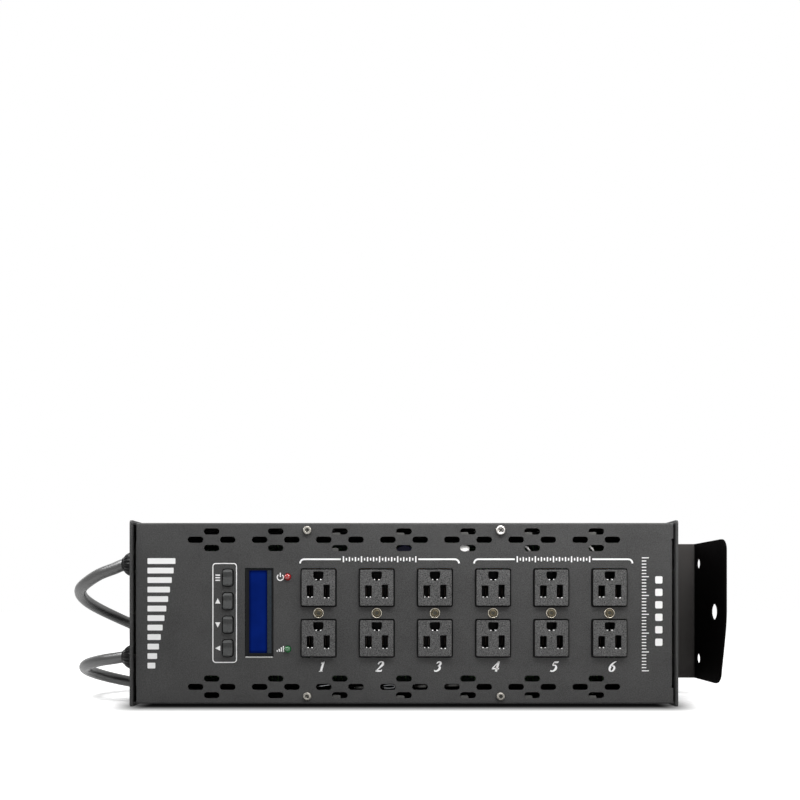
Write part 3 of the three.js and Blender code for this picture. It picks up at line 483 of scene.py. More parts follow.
# A pale metal strip at the window's foot, standing for light on the window's lower edge: painted
# highlight.
SILL_HIGHLIGHT = Finish("sill_metal", "9a9a98", 0.45, metallic=0.5, grain=0.4, relief=0.004)
DISPLAY_BLUE = PaneFinish(
    "display_blue", "02061c", 0.25, specular=0.0, grain=1.3, patch=12, relief=0.001, speckle=0.04,
    mottle=0.2, polish=0.02, light="051a5e")
RESIN = {"coat": 0.5, "grain": 0.8, "patch": 2.5, "relief": 0.03, "speckle": 0.2, "mottle": 0.2}
RED_RESIN = Finish("red_resin", "841010", 0.12, light="4c0808", **RESIN)
GREEN_RESIN = Finish("green_resin", "165028", 0.12, light="0a2c14", **RESIN)
PRINT_WHITE = Finish("print_white", "e6e6e6", grain=0.3, relief=0.004, speckle=0.03, mottle=0.02)
BRASSED_NICKEL = ScrewFinish(
    "brassed_nickel", "544e40", 0.36, 1, grain=1.0, relief=0.03, speckle=0.5, mottle=0.3, patch=2.5)
EYELET_NICKEL = Finish("eyelet_nickel", "c8c2b4", 0.26, 1, grain=0.7, speckle=0.15)
ZINC = ScrewFinish("zinc", "bcb9b6", 0.3, 1, grain=0.6, relief=0.012, speckle=0.12, patch=4.0)
DULL_ZINC = ScrewFinish(
    "dull_zinc", "8e8b85", 0.4, 1, grain=0.9, relief=0.02, speckle=0.4, patch=2.5, mottle=0.35)
BLACK_ZINC = ScrewFinish("black_zinc", "48484a", 0.4, 0.8, speckle=0.12)
CONNECTOR_NICKEL = Finish("connector_nickel", "8f8d89", 0.4, 1, relief=0.008)
# Contact bronze darkened far below its own colour: painted shade deep in the slots.
BRONZE_IN_SHADE = Finish("contact_bronze", "3c3632", 0.4, 1, relief=0.008, speckle=0.2)
# Near-white tin on the contact tips, for the glints at the openings: painted highlight.
TIN_GLINT = Finish("contact_tin", "f0f0f0", 0.4, 0.4, relief=0.006, speckle=0.1)
GOLD_PLATE = Finish("gold_plate", "c8a050", 0.25, 1, grain=0.4, relief=0.003)
CORD_JACKET = Finish(
    "cord_jacket", "1a1a1a", 0.38, grain=0.6, patch=30, relief=0.02, mottle=0.12, specular=0.9)
PLUG_RUBBER = Finish("plug_rubber", "1a1a1a", relief=0.02, speckle=0.1)
RESET_PLASTIC = Finish("reset_plastic", "e2e2dc", 0.35, grain=0.4, relief=0.004, speckle=0.03)
BOARD_LACQUER = BoardFinish("board_lacquer", "12301e", 0.4, specular=0.25)
SINK_METAL = Finish("sink_metal", "c4c6c8", 0.36, 1, grain=0.4, relief=0.008, stretch=(0.04, 1, 1))
CORE_METAL = Finish("core_metal", "6c6e70", 0.45, 0.7, grain=0.4, relief=0.02, stretch=(0.04, 1, 1))
LINK_METAL = Finish("link_metal", "9a9c9e", 0.4, 0.9, grain=0.4, relief=0.004)
COPPER_WINDING = Finish("copper_winding", "b4763c", 0.3, 0.8, grain=0.4, relief=0.006)
WIRE_WHITE = Finish("wire_white", "e6e6e4", 0.4, grain=0.6, relief=0.005, speckle=0.03)
SADDLE_PLASTIC = Finish("saddle_plastic", "424240", grain=0.6, relief=0.006)
CAPACITOR_SLEEVE = Finish(
    "capacitor_sleeve", "0c0c2c", 0.4, grain=0.6, relief=0.005, specular=0.15)


class Piece:
    """One piece on the bench. Most of its tools return it, ready for the next one."""

    def __init__(self, name: str, data: Optional[bpy.types.ID] = None) -> None:
        """Puts a mesh or curve on the bench, or takes the primitive that was just added.

        Args:
            name: the piece's name.
            data: the mesh or curve, where there is no primitive.
        """
        if data is None:
            self.thing = bpy.context.object
            Piece.take(self)
            bpy.ops.object.transform_apply(location=True, rotation=True, scale=True)
        else:
            self.thing = bpy.data.objects.new(name, data)
            bpy.context.scene.collection.objects.link(self.thing)
        self.thing.name = self.thing.data.name = name

    @staticmethod
    def take(*pieces: "Piece") -> None:
        """Selects only these pieces and makes the first one active.

        Args:
            pieces: the pieces.
        """
        bpy.ops.object.select_all(action="DESELECT")
        for piece in pieces:
            piece.thing.select_set(True)
        bpy.context.view_layer.objects.active = pieces[0].thing

    @contextmanager
    def editing(self) -> Iterator[None]:
        """Opens the piece in edit mode, where faces are picked and all of it is selected."""
        Piece.take(self)
        bpy.ops.object.mode_set(mode="EDIT")
        bpy.ops.mesh.select_mode(type="FACE")
        bpy.ops.mesh.select_all(action="SELECT")
        yield
        bpy.ops.object.mode_set(mode="OBJECT")

    def pick(self, kind: Pick, test: Callable[[bmesh.types.BMFace], bool]) -> None:
        """Selects by place or normal in edit mode.

        Args:
            kind: what is picked.
            test: whether one vertex, edge or face is wanted.
        """
        bpy.ops.mesh.select_mode(type=kind.name)
        bpy.ops.mesh.select_all(action="DESELECT")
        mesh = bmesh.from_edit_mesh(self.thing.data)
        for element in getattr(mesh, kind.value):
            element.select_set(bool(test(element)))
        mesh.select_flush_mode()
        bmesh.update_edit_mesh(self.thing.data)

    @classmethod
    def block(cls, name: str, low: Point, high: Point) -> "Piece":
        """Adds a block between two corners.

        Args:
            name: its name.
            low: its lowest corner.
            high: its highest corner.

        Returns:
            The block.
        """
        low, high = Vector(low), Vector(high)
        bpy.ops.mesh.primitive_cube_add(size=1, location=(low + high) / 2, scale=high - low)
        return cls(name)

    @classmethod
    def turned(
        cls, name: str, profile: Points, sides: int, foot: Point, way: Point
    ) -> "Piece":
        """Raises a round piece from a disc, one extrusion for each step of its profile.

        Args:
            name: the piece's name.
            profile: pairs of radius and height, none of them on the axis.
            sides: how many flats go round.
            foot: the point of height zero.
            way: the direction in which it rises.

        Returns:
            The closed piece.
        """
        radius, height = profile[0]
        bpy.ops.mesh.primitive_circle_add(
            vertices=sides, radius=radius, fill_type="NGON", location=(0, 0, height))
        piece = cls(name)
        with piece.editing():
            for (radius, height), (wider, higher) in zip(profile, profile[1:]):
                bpy.ops.mesh.extrude_region_move(
                    TRANSFORM_OT_translate={"value": (0, 0, higher - height)})
                share = wider / radius
                bpy.ops.transform.resize(value=(share, share, 1), center_override=(0, 0, higher))
            bpy.ops.mesh.select_all(action="SELECT")
            bpy.ops.mesh.normals_make_consistent(inside=False)
        turn = Vector(way).to_track_quat("Z", "Y").to_matrix().to_4x4()
        return piece.placed(Matrix.Translation(foot) @ turn)

    @classmethod
    def copied(cls, node: str, name: str) -> "Piece":
        """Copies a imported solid, merges its corners and dissolves its flat faces' triangles.

        Args:
            node: the node to copy.
            name: the new piece's name.

        Returns:
            The copy, in the case's millimetres.
        """
        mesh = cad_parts[node].data.copy()
        mesh.materials.clear()
        piece = cls(name, mesh).placed(CASE.matrix().inverted())
        Piece.take(piece)
        bpy.ops.mesh.customdata_custom_splitnormals_clear()
        with piece.editing():
            bpy.ops.mesh.remove_doubles(threshold=0.01)
            bpy.ops.mesh.dissolve_limited(angle_limit=math.radians(1))
        return piece

    @classmethod
    def bent(
        cls, name: str, kind: str, points: Points, radius: float, fineness: Tuple[int, int]
    ) -> "Piece":
        """Lays a round curve through points.

        Args:
            name: the curve's name.
            kind: NURBS, or BEZIER for handles that the caller turns.
            points: the points that it passes.
            radius: its radius.
            fineness: its steps between two points, and round it.

        Returns:
            The curve.
        """
        curve = bpy.data.curves.new(name, "CURVE")
        curve.dimensions = "3D"
        curve.bevel_depth = radius
        curve.resolution_u, curve.bevel_resolution = fineness
        curve.use_fill_caps = True
        spline = curve.splines.new(kind)
        knots = spline.bezier_points if kind == "BEZIER" else spline.points
        knots.add(len(points) - 1)
        for knot, point in zip(knots, points):
            knot.co = point if kind == "BEZIER" else (*point, 1)
        return cls(name, curve)

    def as_mesh(self) -> "Piece":
        """Turns a curve into a mesh."""
        Piece.take(self)
        bpy.ops.object.convert(target="MESH")
        return self

    def moved(self, name: str, matrix: Matrix) -> "Piece":
        """A copy with its own mesh, moved by a matrix."""
        return Piece(name, self.thing.data.copy()).placed(matrix)

    def placed(self, matrix: Matrix) -> "Piece":
        """Moves the piece's mesh by a matrix."""
        self.thing.data.transform(matrix)
        return self

    def remove(self) -> None:
        """Takes the piece off the bench."""
        bpy.data.objects.remove(self.thing)

    @staticmethod
    def joined(name: str, pieces: Sequence["Piece"]) -> "Piece":
        """Joins pieces into the first of them.

        Args:
            name: what the whole is called.
            pieces: the pieces.

        Returns:
            The first piece.
        """
        Piece.take(*pieces)
        if len(pieces) > 1:
            bpy.ops.object.join()
        pieces[0].thing.name = pieces[0].thing.data.name = name
        return pieces[0]

    def strewn(self, places: Points) -> "Piece":
        """Copies the piece to several places and joins the copies, leaving the first one out.

        Args:
            places: how far each copy is moved.

        Returns:
            The copies as one piece.
        """
        copies = [self.moved("copy", Matrix.Translation(place)) for place in places]
        self.remove()
        return Piece.joined("copies", copies)

    def repeated(
        self, nodes: Sequence[str], part: str, finish: Finish, slot: str, replace: bool = False
    ) -> None:
        """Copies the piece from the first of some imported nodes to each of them, and removes it.

        Args:
            nodes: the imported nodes.
            part: what a copy is called after its node.
            finish: the copies' finish.
            slot: their material slot.
            replace: whether a copy stands for its node.
        """
        for node in nodes:
            shift = Matrix.Translation(CASE.centre(node) - CASE.centre(nodes[0]))
            shown_for = [node] if replace else []
            self.moved(f"{node}_{part}", shift).deliver(finish, slot, *shown_for)
        self.remove()

    def apply(self, kind: str, **settings: object) -> "Piece":
        """Adds a modifier with its settings and applies it.

        Args:
            kind: the modifier's type.
            settings: its settings.

        Returns:
            The piece.
        """
        modifier = self.thing.modifiers.new(kind.lower(), kind)
        for key, value in settings.items():
            setattr(modifier, key, value)
        Piece.take(self)
        bpy.ops.object.modifier_apply(modifier=modifier.name)
        return self

    def carve(self, cutter: "Piece", operation: str = "DIFFERENCE") -> "Piece":
        """Cuts the piece with another one, which is used up.

        Args:
            cutter: the other piece.
            operation: DIFFERENCE or INTERSECT.

        Returns:
            The piece.
        """
        self.apply("BOOLEAN", operation=operation, object=cutter.thing, solver="EXACT")
        cutter.remove()
        return self

    def folded(self, open_side: Callable[[Vector], bool], radius: float) -> "Piece":
        """Opens a block into a sheet and bends the edges between the faces that are left.

        Args:
            open_side: whether a face with this normal is taken away.
            radius: the radius of the bends.

        Returns:
            The sheet, still without thickness.
        """
        with self.editing():
            self.pick(Pick.FACE, lambda face: open_side(face.normal))
            bpy.ops.mesh.delete(type="FACE")
            self.pick(Pick.EDGE, lambda edge: not edge.is_boundary)
            bpy.ops.mesh.bevel(offset=radius, segments=6, affect="EDGES")
        return self

    def rounded(self, along: Along, radius: float, segments: int = 6) -> "Piece":
        """Rounds the edges that run along one direction.

        Args:
            along: the direction.
            radius: the radius of the rounding.
            segments: how many flats make a rounding.

        Returns:
            The piece.
        """
        def runs_along(edge: bmesh.types.BMEdge) -> bool:
            """Whether an edge has that direction."""
            way = edge.verts[1].co - edge.verts[0].co
            return abs(way[along.value]) > way.length * 0.999

        with self.editing():
            self.pick(Pick.EDGE, runs_along)
            bpy.ops.mesh.bevel(offset=radius, segments=segments, affect="EDGES")
        return self

    def resized(
        self, kind: Pick, test: Callable[[bmesh.types.BMFace], bool], value: Point, middle: Point
    ) -> "Piece":
        """Scales what passes a test about a middle.

        Args:
            kind: what is picked.
            test: whether one vertex, edge or face is wanted.
            value: the scale.
            middle: what it is about.

        Returns:
            The piece.
        """
        with self.editing():
            self.pick(kind, test)
            bpy.ops.transform.resize(value=value, center_override=middle)
        return self

    def smoothed(self, angle: float) -> "Piece":
        """Shades the piece smooth, save for its sharp edges.

        Args:
            angle: the least angle of an edge that counts as sharp, in degrees.

        Returns:
            The piece.
        """
        Piece.take(self)
        bpy.ops.object.shade_smooth_by_angle(angle=math.radians(angle))
        return self

    def soften(self, width: float, segments: int = 2, angle: float = 32) -> "Piece":
        """Rounds every sharp edge a little and shades the piece smooth, so that edges catch light.

        Args:
            width: the width of the roundings.
            segments: how many flats make one.
            angle: the least angle, in degrees, of an edge that counts as sharp.

        Returns:
            The piece.
        """
        Piece.take(self)
        bpy.ops.object.shade_smooth()
        self.apply("BEVEL", width=width, segments=segments, limit_method="ANGLE",
                   angle_limit=math.radians(angle), use_clamp_overlap=True)
        return self.apply("WEIGHTED_NORMAL", keep_sharp=True, weight=50)

    def deliver(self, finish: Finish, slot: str, *nodes: str, body: str = "case") -> "Piece":
        """Moves the finished piece into the shared frame, and dresses and ties it there."""
        return self.placed(CASE.matrix()).tie(finish, slot, *nodes, body=body)

    def tie(self, finish: Finish, slot: str, *nodes: str, body: str = "case") -> "Piece":
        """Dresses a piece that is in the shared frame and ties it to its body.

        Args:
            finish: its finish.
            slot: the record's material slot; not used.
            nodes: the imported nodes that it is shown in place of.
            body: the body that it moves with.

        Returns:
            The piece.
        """
        self.thing.data.materials.clear()
        self.thing.data.materials.append(finish.material())
        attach(self.thing, body)
        if nodes:
            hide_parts(*nodes)
        LOG.info("%s: %s, on %s", self.thing.name, finish.name, body)
        return self


@dataclass(frozen=True)
class SoftBox:
    """A soft box of the studio. Its places are in metres in the shared frame."""

    name: str
    power: float
    place: Point
    size: Point
    target: Point = (0.0, -0.04, 0.07)
    tint: Point = (1.0, 1.0, 1.0)

    def hang(self) -> None:
        """Hangs the box so that it faces its target."""
        turn = (Vector(self.target) - Vector(self.place)).to_track_quat("-Z", "Y").to_euler()
        bpy.ops.object.light_add(type="AREA", location=self.place, rotation=turn)
        lamp = bpy.context.object
        lamp.name = self.name
        lamp.data.shape = "RECTANGLE"
        lamp.data.size, lamp.data.size_y = self.size
        lamp.data.energy = self.power
        lamp.data.color = self.tint
        lamp.visible_camera = False


@dataclass
class Studio:
    """Camera, soft boxes, floor and white surroundings."""

    lens: float = 35.0
    sensor: float = 36.0
    eye_x: float = -1.5
    eye_distance: float = 599.0
    eye_height: float = 83.0
    shift: Point = (-0.0025, 0.2484)
    world_strength: float = 0.055
    floor_size: float = 8.0
    floor_base: float = 0.6
    floor_grey: Point = (0.5, 0.5, 0.5)
    floor_pale: Point = (0.88, 0.88, 0.88)
    shade_inset: Point = (13.0, 2.0)
    shade_reach: Point = (-2.5, 50.0)
    white_reach: Point = (100.0, 500.0)
    boxes: Sequence[SoftBox] = (
        SoftBox("key_box", 1.3, (0.3, -0.55, 0.75), (0.12, 0.12)),
        SoftBox("left_box", 0.8, (-0.34, -0.09, 0.28), (0.12, 0.12), (-0.24, 0.0, 0.12)),
        SoftBox("top_strip", 1.6, (0.09, -0.15, 0.33), (0.46, 0.08), (0.09, -0.04, 0.08)),
        SoftBox("top_box", 0.9, (0.05, 0.15, 0.95), (1.1, 0.5), (0.05, 0.05, 0.0)),
        SoftBox("front_box", 1.5, (0.62, -0.6, 0.4), (0.4, 0.4), tint=(1.0, 0.97, 0.94)),
        SoftBox("back_left_box", 1.6, (-0.9, 0.9, 0.6), (0.6, 0.6)),
        SoftBox("back_right_box", 1.6, (0.9, 0.9, 0.6), (0.6, 0.6)),
    )

    def camera(self) -> None:
        """Adds the camera, level and square to the front panel, as the photograph was taken."""
        eye = CASE.matrix() @ Vector((self.eye_x, PANEL - self.eye_distance, self.eye_height))
        bpy.ops.object.camera_add(location=eye, rotation=(math.pi / 2, 0, 0))
        camera = bpy.context.object
        camera.name = "camera"
        camera.data.lens = self.lens
        camera.data.sensor_width = self.sensor
        camera.data.shift_x, camera.data.shift_y = self.shift
        camera.data.clip_start = 0.01
        bpy.context.scene.camera = camera

    def world(self) -> None:
        """Lights the scene evenly and shows white to the camera and in reflections."""
        world = bpy.data.worlds.new("surroundings")
        world.use_nodes = True
        bpy.context.scene.world = world
        background = world.node_tree.nodes["Background"].inputs
        shader = Shader(world.name, world.node_tree)
        shader.give(background["Color"], (1, 1, 1, 1))
        shader.give(background["Strength"],
                    self.world_strength + shader.seen() * (1 - self.world_strength))

    def floor(self) -> None:
        """Lays a pale floor with a painted shadow under and round the case, white a little way off.
        """
        bpy.ops.mesh.primitive_grid_add(x_subdivisions=4, y_subdivisions=4, size=self.floor_size)
        floor = bpy.context.object
        floor.name = "floor"
        size = CASE.box("right_end_plate")[1] - CASE.box("left_end_plate")[0]
        half = [length / 2 - inset for length, inset in zip(size, self.shade_inset)]
        shader = Shader("floor_white")
        spot = shader.vector("ABSOLUTE", shader.place(origin=CASE.matrix().translation))
        beyond = shader.vector("MAXIMUM", shader.vector("SUBTRACT", spot, (*half, 0)), (0, 0, 0))
        reach = shader.vector("LENGTH", beyond, output="Value")
        # open_share paints the case's shadow into the floor by distance from its footprint.
        open_share = shader.rise(reach, *self.shade_reach)
        seen = shader.seen()
        pale = shader.tinted(self.floor_pale, open_share)
        shader.set(Base_Color=shader.mixed(seen, self.floor_grey, pale), Roughness=0.9,
                   Specular_IOR_Level=0.0)
        away = shader.rise(reach, *self.white_reach, self.floor_base, 1.0)
        glow = shader.node("Emission", {"Strength": away * open_share * seen})
        both = shader.node("AddShader", {0: Value(shader, shader.principled.outputs[0]), 1: glow})
        shader.give(shader.tree.nodes["Material Output"].inputs["Surface"], both)
        floor.data.materials.append(shader.material)

    def build(self) -> None:
        """Sets up the whole studio."""
        bpy.context.scene.view_settings.view_transform = "Standard"
        self.camera()
        for box in self.boxes:
            box.hang()
        self.world()
        self.floor()


@dataclass
class SupplyCord:
    """A supply cord: its free stretch, the coil that takes the rest, and its plug.

    The numbers of a rib are its radius, what the next rib's has more, and its place.
    """

    letter: str
    route: Points
    turns: float
    floor_turns: float
    length: float = 1500.0
    diameter: float = 9.4
    lay_gap: float = 0.7
    joint_gap: float = 0.3
    climb_share: float = 0.5
    reverse_share: float = 0.06
    tail: float = 36.0
    tail_steps: int = 4
    turn_points: int = 48
    fitting_rounds: int = 4
    plug_reach: Point = (24.3, 56.3)
    plug_half: Point = (18.0, 14.8)
    plug_taper: Point = (1, 0.8, 0.85)
    sleeve_ends: Points = ((5.9, 0.3), (10.8, 24.8))
    sleeve_ribs: int = 5
    rib_pitch: float = 4.0
    rib: Points = ((6.1, 0.3, 2.0), (7.4, 0.4, 2.7), (7.4, 0.4, 4.1), (6.4, 0.3, 4.8))
    grips: int = 4
    grip_start: Point = (9.0, 18.6)
    grip_pitch: float = 5.0
    grip_half: Point = (1.0, 1.4, 8.0)
    blade_reach: Point = (-3.0, 17.5)
    blades: Points = ((-6.5, -7.1, -0.1, -5.6), (-4.05, 2.4, -2.55, 10.3))
    pin: Points = ((2.4, -3.0), (2.4, 18.0), (2.0, 19.6), (1.0, 20.5))
    pin_y: float = 8.6

    def lead_points(self) -> List[Vector]:
        """The points from the gland's mouth to the coil, in millimetres."""
        gland = f"cord_gland_{self.letter}"
        middle = CASE.centre(gland)
        mouth = Vector((CASE.box(gland)[0].x, middle.y, middle.z))
        return [mouth + Vector(step) for step in self.route]

    def coil_points(self, start: Vector, least: float) -> List[Vector]:
        """Winds the coil: inwards on the floor, up a layer, and outwards on top.

        Args:
            start: where the coil begins.
            least: the radius of its innermost turn.

        Returns:
            Its points after the start.
        """
        pitch = self.diameter + self.lay_gap
        reverse = self.floor_turns + self.climb_share / 2

        def radius(turn: float) -> float:
            """The coil's radius after so many turns."""
            way = math.hypot(turn - reverse, self.reverse_share) - self.reverse_share
            return least + pitch * way

        middle = start + Vector((self.diameter, radius(0), 0))
        count = round(self.turns * self.turn_points)
        points = [start + Vector((self.diameter / 2, 0, 0))]
        for step in range(count + 1):
            turn = step / count * self.turns
            angle = 2 * math.pi * turn - math.pi / 2
            share = min(1.0, max(0.0, (turn - self.floor_turns) / self.climb_share))
            climb = share * share * (3 - 2 * share)
            around = Vector((math.cos(angle), math.sin(angle), 0)) * radius(turn)
            points.append(middle + around + Vector((0, 0, pitch * climb)))
        angle = 2 * math.pi * self.turns
        step = Vector((math.cos(angle), math.sin(angle), 0)) * self.tail / self.tail_steps
        return points + [points[-1] + step * (index + 1) for index in range(self.tail_steps)]

    def path(self) -> List[Vector]:
        """The whole cord's points: the coil's radius follows from the length that is left."""
        def measured(points: Sequence[Vector]) -> float:
            """The length of a line through points."""
            return sum((second - first).length for first, second in zip(points, points[1:]))

        lead = self.lead_points()
        start = lead[-1] + Vector((self.joint_gap, 0, 0))
        left = self.length - measured(lead)
        least = left / (2 * math.pi * self.turns)
        for _ in range(self.fitting_rounds):
            coil = self.coil_points(start, least)
            least += (left - measured([start, *coil])) / (2 * math.pi * self.turns)
        return lead + coil

    def jacket(self, points: Sequence[Vector]) -> Piece:
        """Draws the cord as one smooth open curve.

        Args:
            points: the points that it passes, in millimetres.

        Returns:
            The curve, in the shared frame.
        """
        placed = [CASE.matrix() @ point for point in points]
        cord = Piece.bent(f"cord_{self.letter}", "BEZIER", placed, self.diameter / 2 * MM, (3, 5))
        last = len(placed) - 1
        for index, knot in enumerate(cord.thing.data.splines[0].bezier_points):
            reach = placed[min(index + 1, last)] - placed[max(index - 1, 0)]
            reach = reach / (3 if index in (0, last) else 6)
            knot.handle_left, knot.handle_right = placed[index] - reach, placed[index] + reach
        return cord

    def plug(self, end: Vector) -> List[Piece]:
        """Makes the plug on the cord's end.

        Args:
            end: the end of the cord.

        Returns:
            The plug's moulding and its blades.
        """
        name, (low, high), (wide, tall) = f"plug_{self.letter}", self.plug_reach, self.plug_half
        ribs = [(radius + step * growth, place + step * self.rib_pitch)
                for step in range(self.sleeve_ribs) for radius, growth, place in self.rib]
        start, end_rib = self.sleeve_ends
        sleeve = Piece.turned("sleeve", [start, *ribs, end_rib], 24, (0, 0, 0), (1, 0, 0))
        body = Piece.block("body", (low, -wide, -tall), (high, wide, tall)).rounded(Along.X, 6, 5)
        body.resized(Pick.FACE, lambda face: face.normal.x < -0.9, self.plug_taper, (low, 0, 0))
        across, aside = self.grip_start
        half = Vector(self.grip_half)
        middles = [Vector((low + across + step * self.grip_pitch, side * aside, 0))
                   for step in range(self.grips) for side in (-1, 1)]
        grips = [Piece.block("grip", middle - half, middle + half) for middle in middles]
        body.carve(Piece.joined("grips", grips)).soften(0.7, 3)
        case = Piece.joined(f"{name}_moulding", [body, sleeve.soften(0.25)])
        root, tip = (high + reach for reach in self.blade_reach)
        blades = [Piece.block("blade", (root, *sizes[:2]), (tip, *sizes[2:])).soften(0.4)
                  for sizes in self.blades]
        profile = [(radius, high + reach) for radius, reach in self.pin]
        pin = Piece.turned("ground", profile, 20, (0, self.pin_y, 0), (1, 0, 0)).soften(0.2)
        metal = Piece.joined(f"{name}_blades", [*blades, pin])
        turn = Matrix.Translation(end) @ Matrix.Rotation(2 * math.pi * self.turns, 4, "Z")
        case.placed(turn).deliver(PLUG_RUBBER, "plug_rubber", name)
        metal.placed(turn).deliver(ZINC, "connector_metal")
        return [case, metal]

    def build(self) -> None:
        points, name = self.path(), f"cord_{self.letter}"
        cord = self.jacket(points).tie(CORD_JACKET, "cord_rubber", f"{name}_lead", f"{name}_coil")
        ends = self.plug(points[-1])
        CASE.matrix() @ points[0]


CORDS = [
    SupplyCord("a", [
        (1.7, 0, 0), (-3, 0, 0), (-7, 0.1, -1.6), (-12, 0.6, -3.6), (-24, 2.8, -7.8),
        (-37.3, 10.4, -14.2), (-47.1, 22, -19.5), (-52.3, 36.4, -25), (-52.3, 51.6, -31),
        (-47.1, 66, -37.5), (-37.3, 77.7, -44.5), (-24, 85.3, -52), (-9, 88, -60), (11, 88, -71.5),
        (31, 88, -82.5), (51, 88, -92), (71, 88, -99.3), (91, 88, -103.9), (108, 88, -105.55),
        (122, 88, -105.7), (130, 88, -105.7), (138, 88, -105.7)], 3.625, 1.65),
    SupplyCord("b", [
        (1.7, 0, 0), (-3, 0, 0), (-7, 0.1, -0.6), (-12, 0.6, -1.4), (-22, 2.3, -2.9),
        (-33.4, 8.9, -5.6), (-41.9, 19, -8.8), (-46.4, 31.4, -12.4), (-46.4, 44.6, -16.4),
        (-41.9, 57, -20.6), (-33.4, 67.1, -24.6), (-22, 73.7, -28), (-9, 76, -30.4),
        (11, 76, -31.4), (40, 76, -31.5), (80, 76, -31.5), (120, 76, -31.5), (160, 76, -31.5),
        (200, 76, -31.5), (240, 76, -31.5), (268, 76, -31.5), (276, 76, -31.5),
        (284, 76, -31.5)], 3, 1.4),
]


def upright(x: float, y: float, z: float) -> Matrix:
    """Stands a drawing up, facing the front, with its origin at a point."""
    return Matrix(((1, 0, 0, x), (0, 0, -1, y), (0, 1, 0, z), (0, 0, 0, 1)))


def sideways(x: float) -> Matrix:
    """Stands a drawing of Y and Z across the case."""
    return Matrix(((0, 0, 1, x), (1, 0, 0, 0), (0, 1, 0, 0), (0, 0, 0, 1)))


@dataclass
class Stencil:
    """Flat shapes cut from one sheet: closed outlines in millimetres."""

    name: str
    outlines: List[Points] = field(default_factory=list)
    depth: float = 0.06

    def bar(self, x: float, z: float, width: float, height: float, corner: float = 0.0) -> None:
        """Adds an upright bar, with round corners if asked.

        Args:
            x: its middle across.
            z: its middle upwards.
            width: its width.
            height: its height.
            corner: the radius of its corners.
        """
        points = []
        for quarter, (side, rise) in enumerate(((1, -1), (1, 1), (-1, 1), (-1, -1))):
            middle = (x + side * (width / 2 - corner), z + rise * (height / 2 - corner))
            points += arc(middle, corner, 90 * (quarter - 1), 90 * quarter, 5 if corner else 0)
        self.outlines.append(points)

    def stroke(self, points: Points, line: float) -> None:
        """Adds a line of even width through points, with mitred corners.

        Args:
            points: the points of its middle line.
            line: its width.
        """
        spots = [Vector(point) for point in points]
        left, right = [], []
        for index, spot in enumerate(spots):
            before = (spot - spots[index - 1]).normalized() if index else None
            after = (spots[index + 1] - spot).normalized() if index + 1 < len(spots) else None
            first, second = before or after, after or before
            along = (first + second).normalized()
            side = Vector((-along.y, along.x)) * (line / 2 / max(0.3, along.dot(first)))
            left.append(tuple(spot + side))
            right.append(tuple(spot - side))
        self.outlines.append(left + right[::-1])

    def brush(self, points: Points, steps: int = 5) -> None:
        """Adds a smooth stroke whose width changes along it.

        Args:
            points: X, Z and the stroke's width there.
            steps: how many pieces each stretch is drawn in.
        """
        knots = [Vector(point) for point in points]
        line = []
        for index, (start, end) in enumerate(zip(knots, knots[1:])):
            pull = (end - knots[max(index - 1, 0)]) / 2
            push = (knots[min(index + 2, len(knots) - 1)] - start) / 2
            for step in range(steps):
                share = step / steps
                square, cube = share * share, share ** 3
                line.append(start * (2 * cube - 3 * square + 1) + pull * (cube - 2 * square + share)
                            + end * (3 * square - 2 * cube) + push * (cube - square))
        line.append(knots[-1])
        left, right = [], []
        for index, spot in enumerate(line):
            way = line[min(index + 1, len(line) - 1)] - line[max(index - 1, 0)]
            side = Vector((-way.y, way.x)).normalized() * spot.z / 2
            left.append(tuple(spot.xy + side))
            right.append(tuple(spot.xy - side))
        self.outlines.append(left + right[::-1])

    def solid(self, depth: float, matrix: Matrix) -> Piece:
        """Fills the outlines and gives them a thickness about the drawing plane.

        Args:
            depth: the thickness.
            matrix: how the drawing is stood up.

        Returns:
            The closed piece.
        """
        curve = bpy.data.curves.new(self.name, "CURVE")
        curve.dimensions = "2D"
        curve.fill_mode = "BOTH"
        curve.extrude = depth / 2
        for outline in self.outlines:
            spline = curve.splines.new("POLY")
            spline.points.add(len(outline) - 1)
            for knot, (x, y) in zip(spline.points, outline):
                knot.co = (x, y, 0, 1)
            spline.use_cyclic_u = True
        piece = Piece(self.name, curve).as_mesh()
        with piece.editing():
            bpy.ops.mesh.remove_doubles(threshold=0.002)
            bpy.ops.mesh.normals_make_consistent(inside=False)
        return piece.placed(matrix)

    def printed(self) -> None:
        """Lays the shapes on the front panel as a thin piece."""
        flat = self.solid(self.depth, upright(0, PANEL - self.depth / 2, 0))
        flat.deliver(PRINT_WHITE, "case_paint")


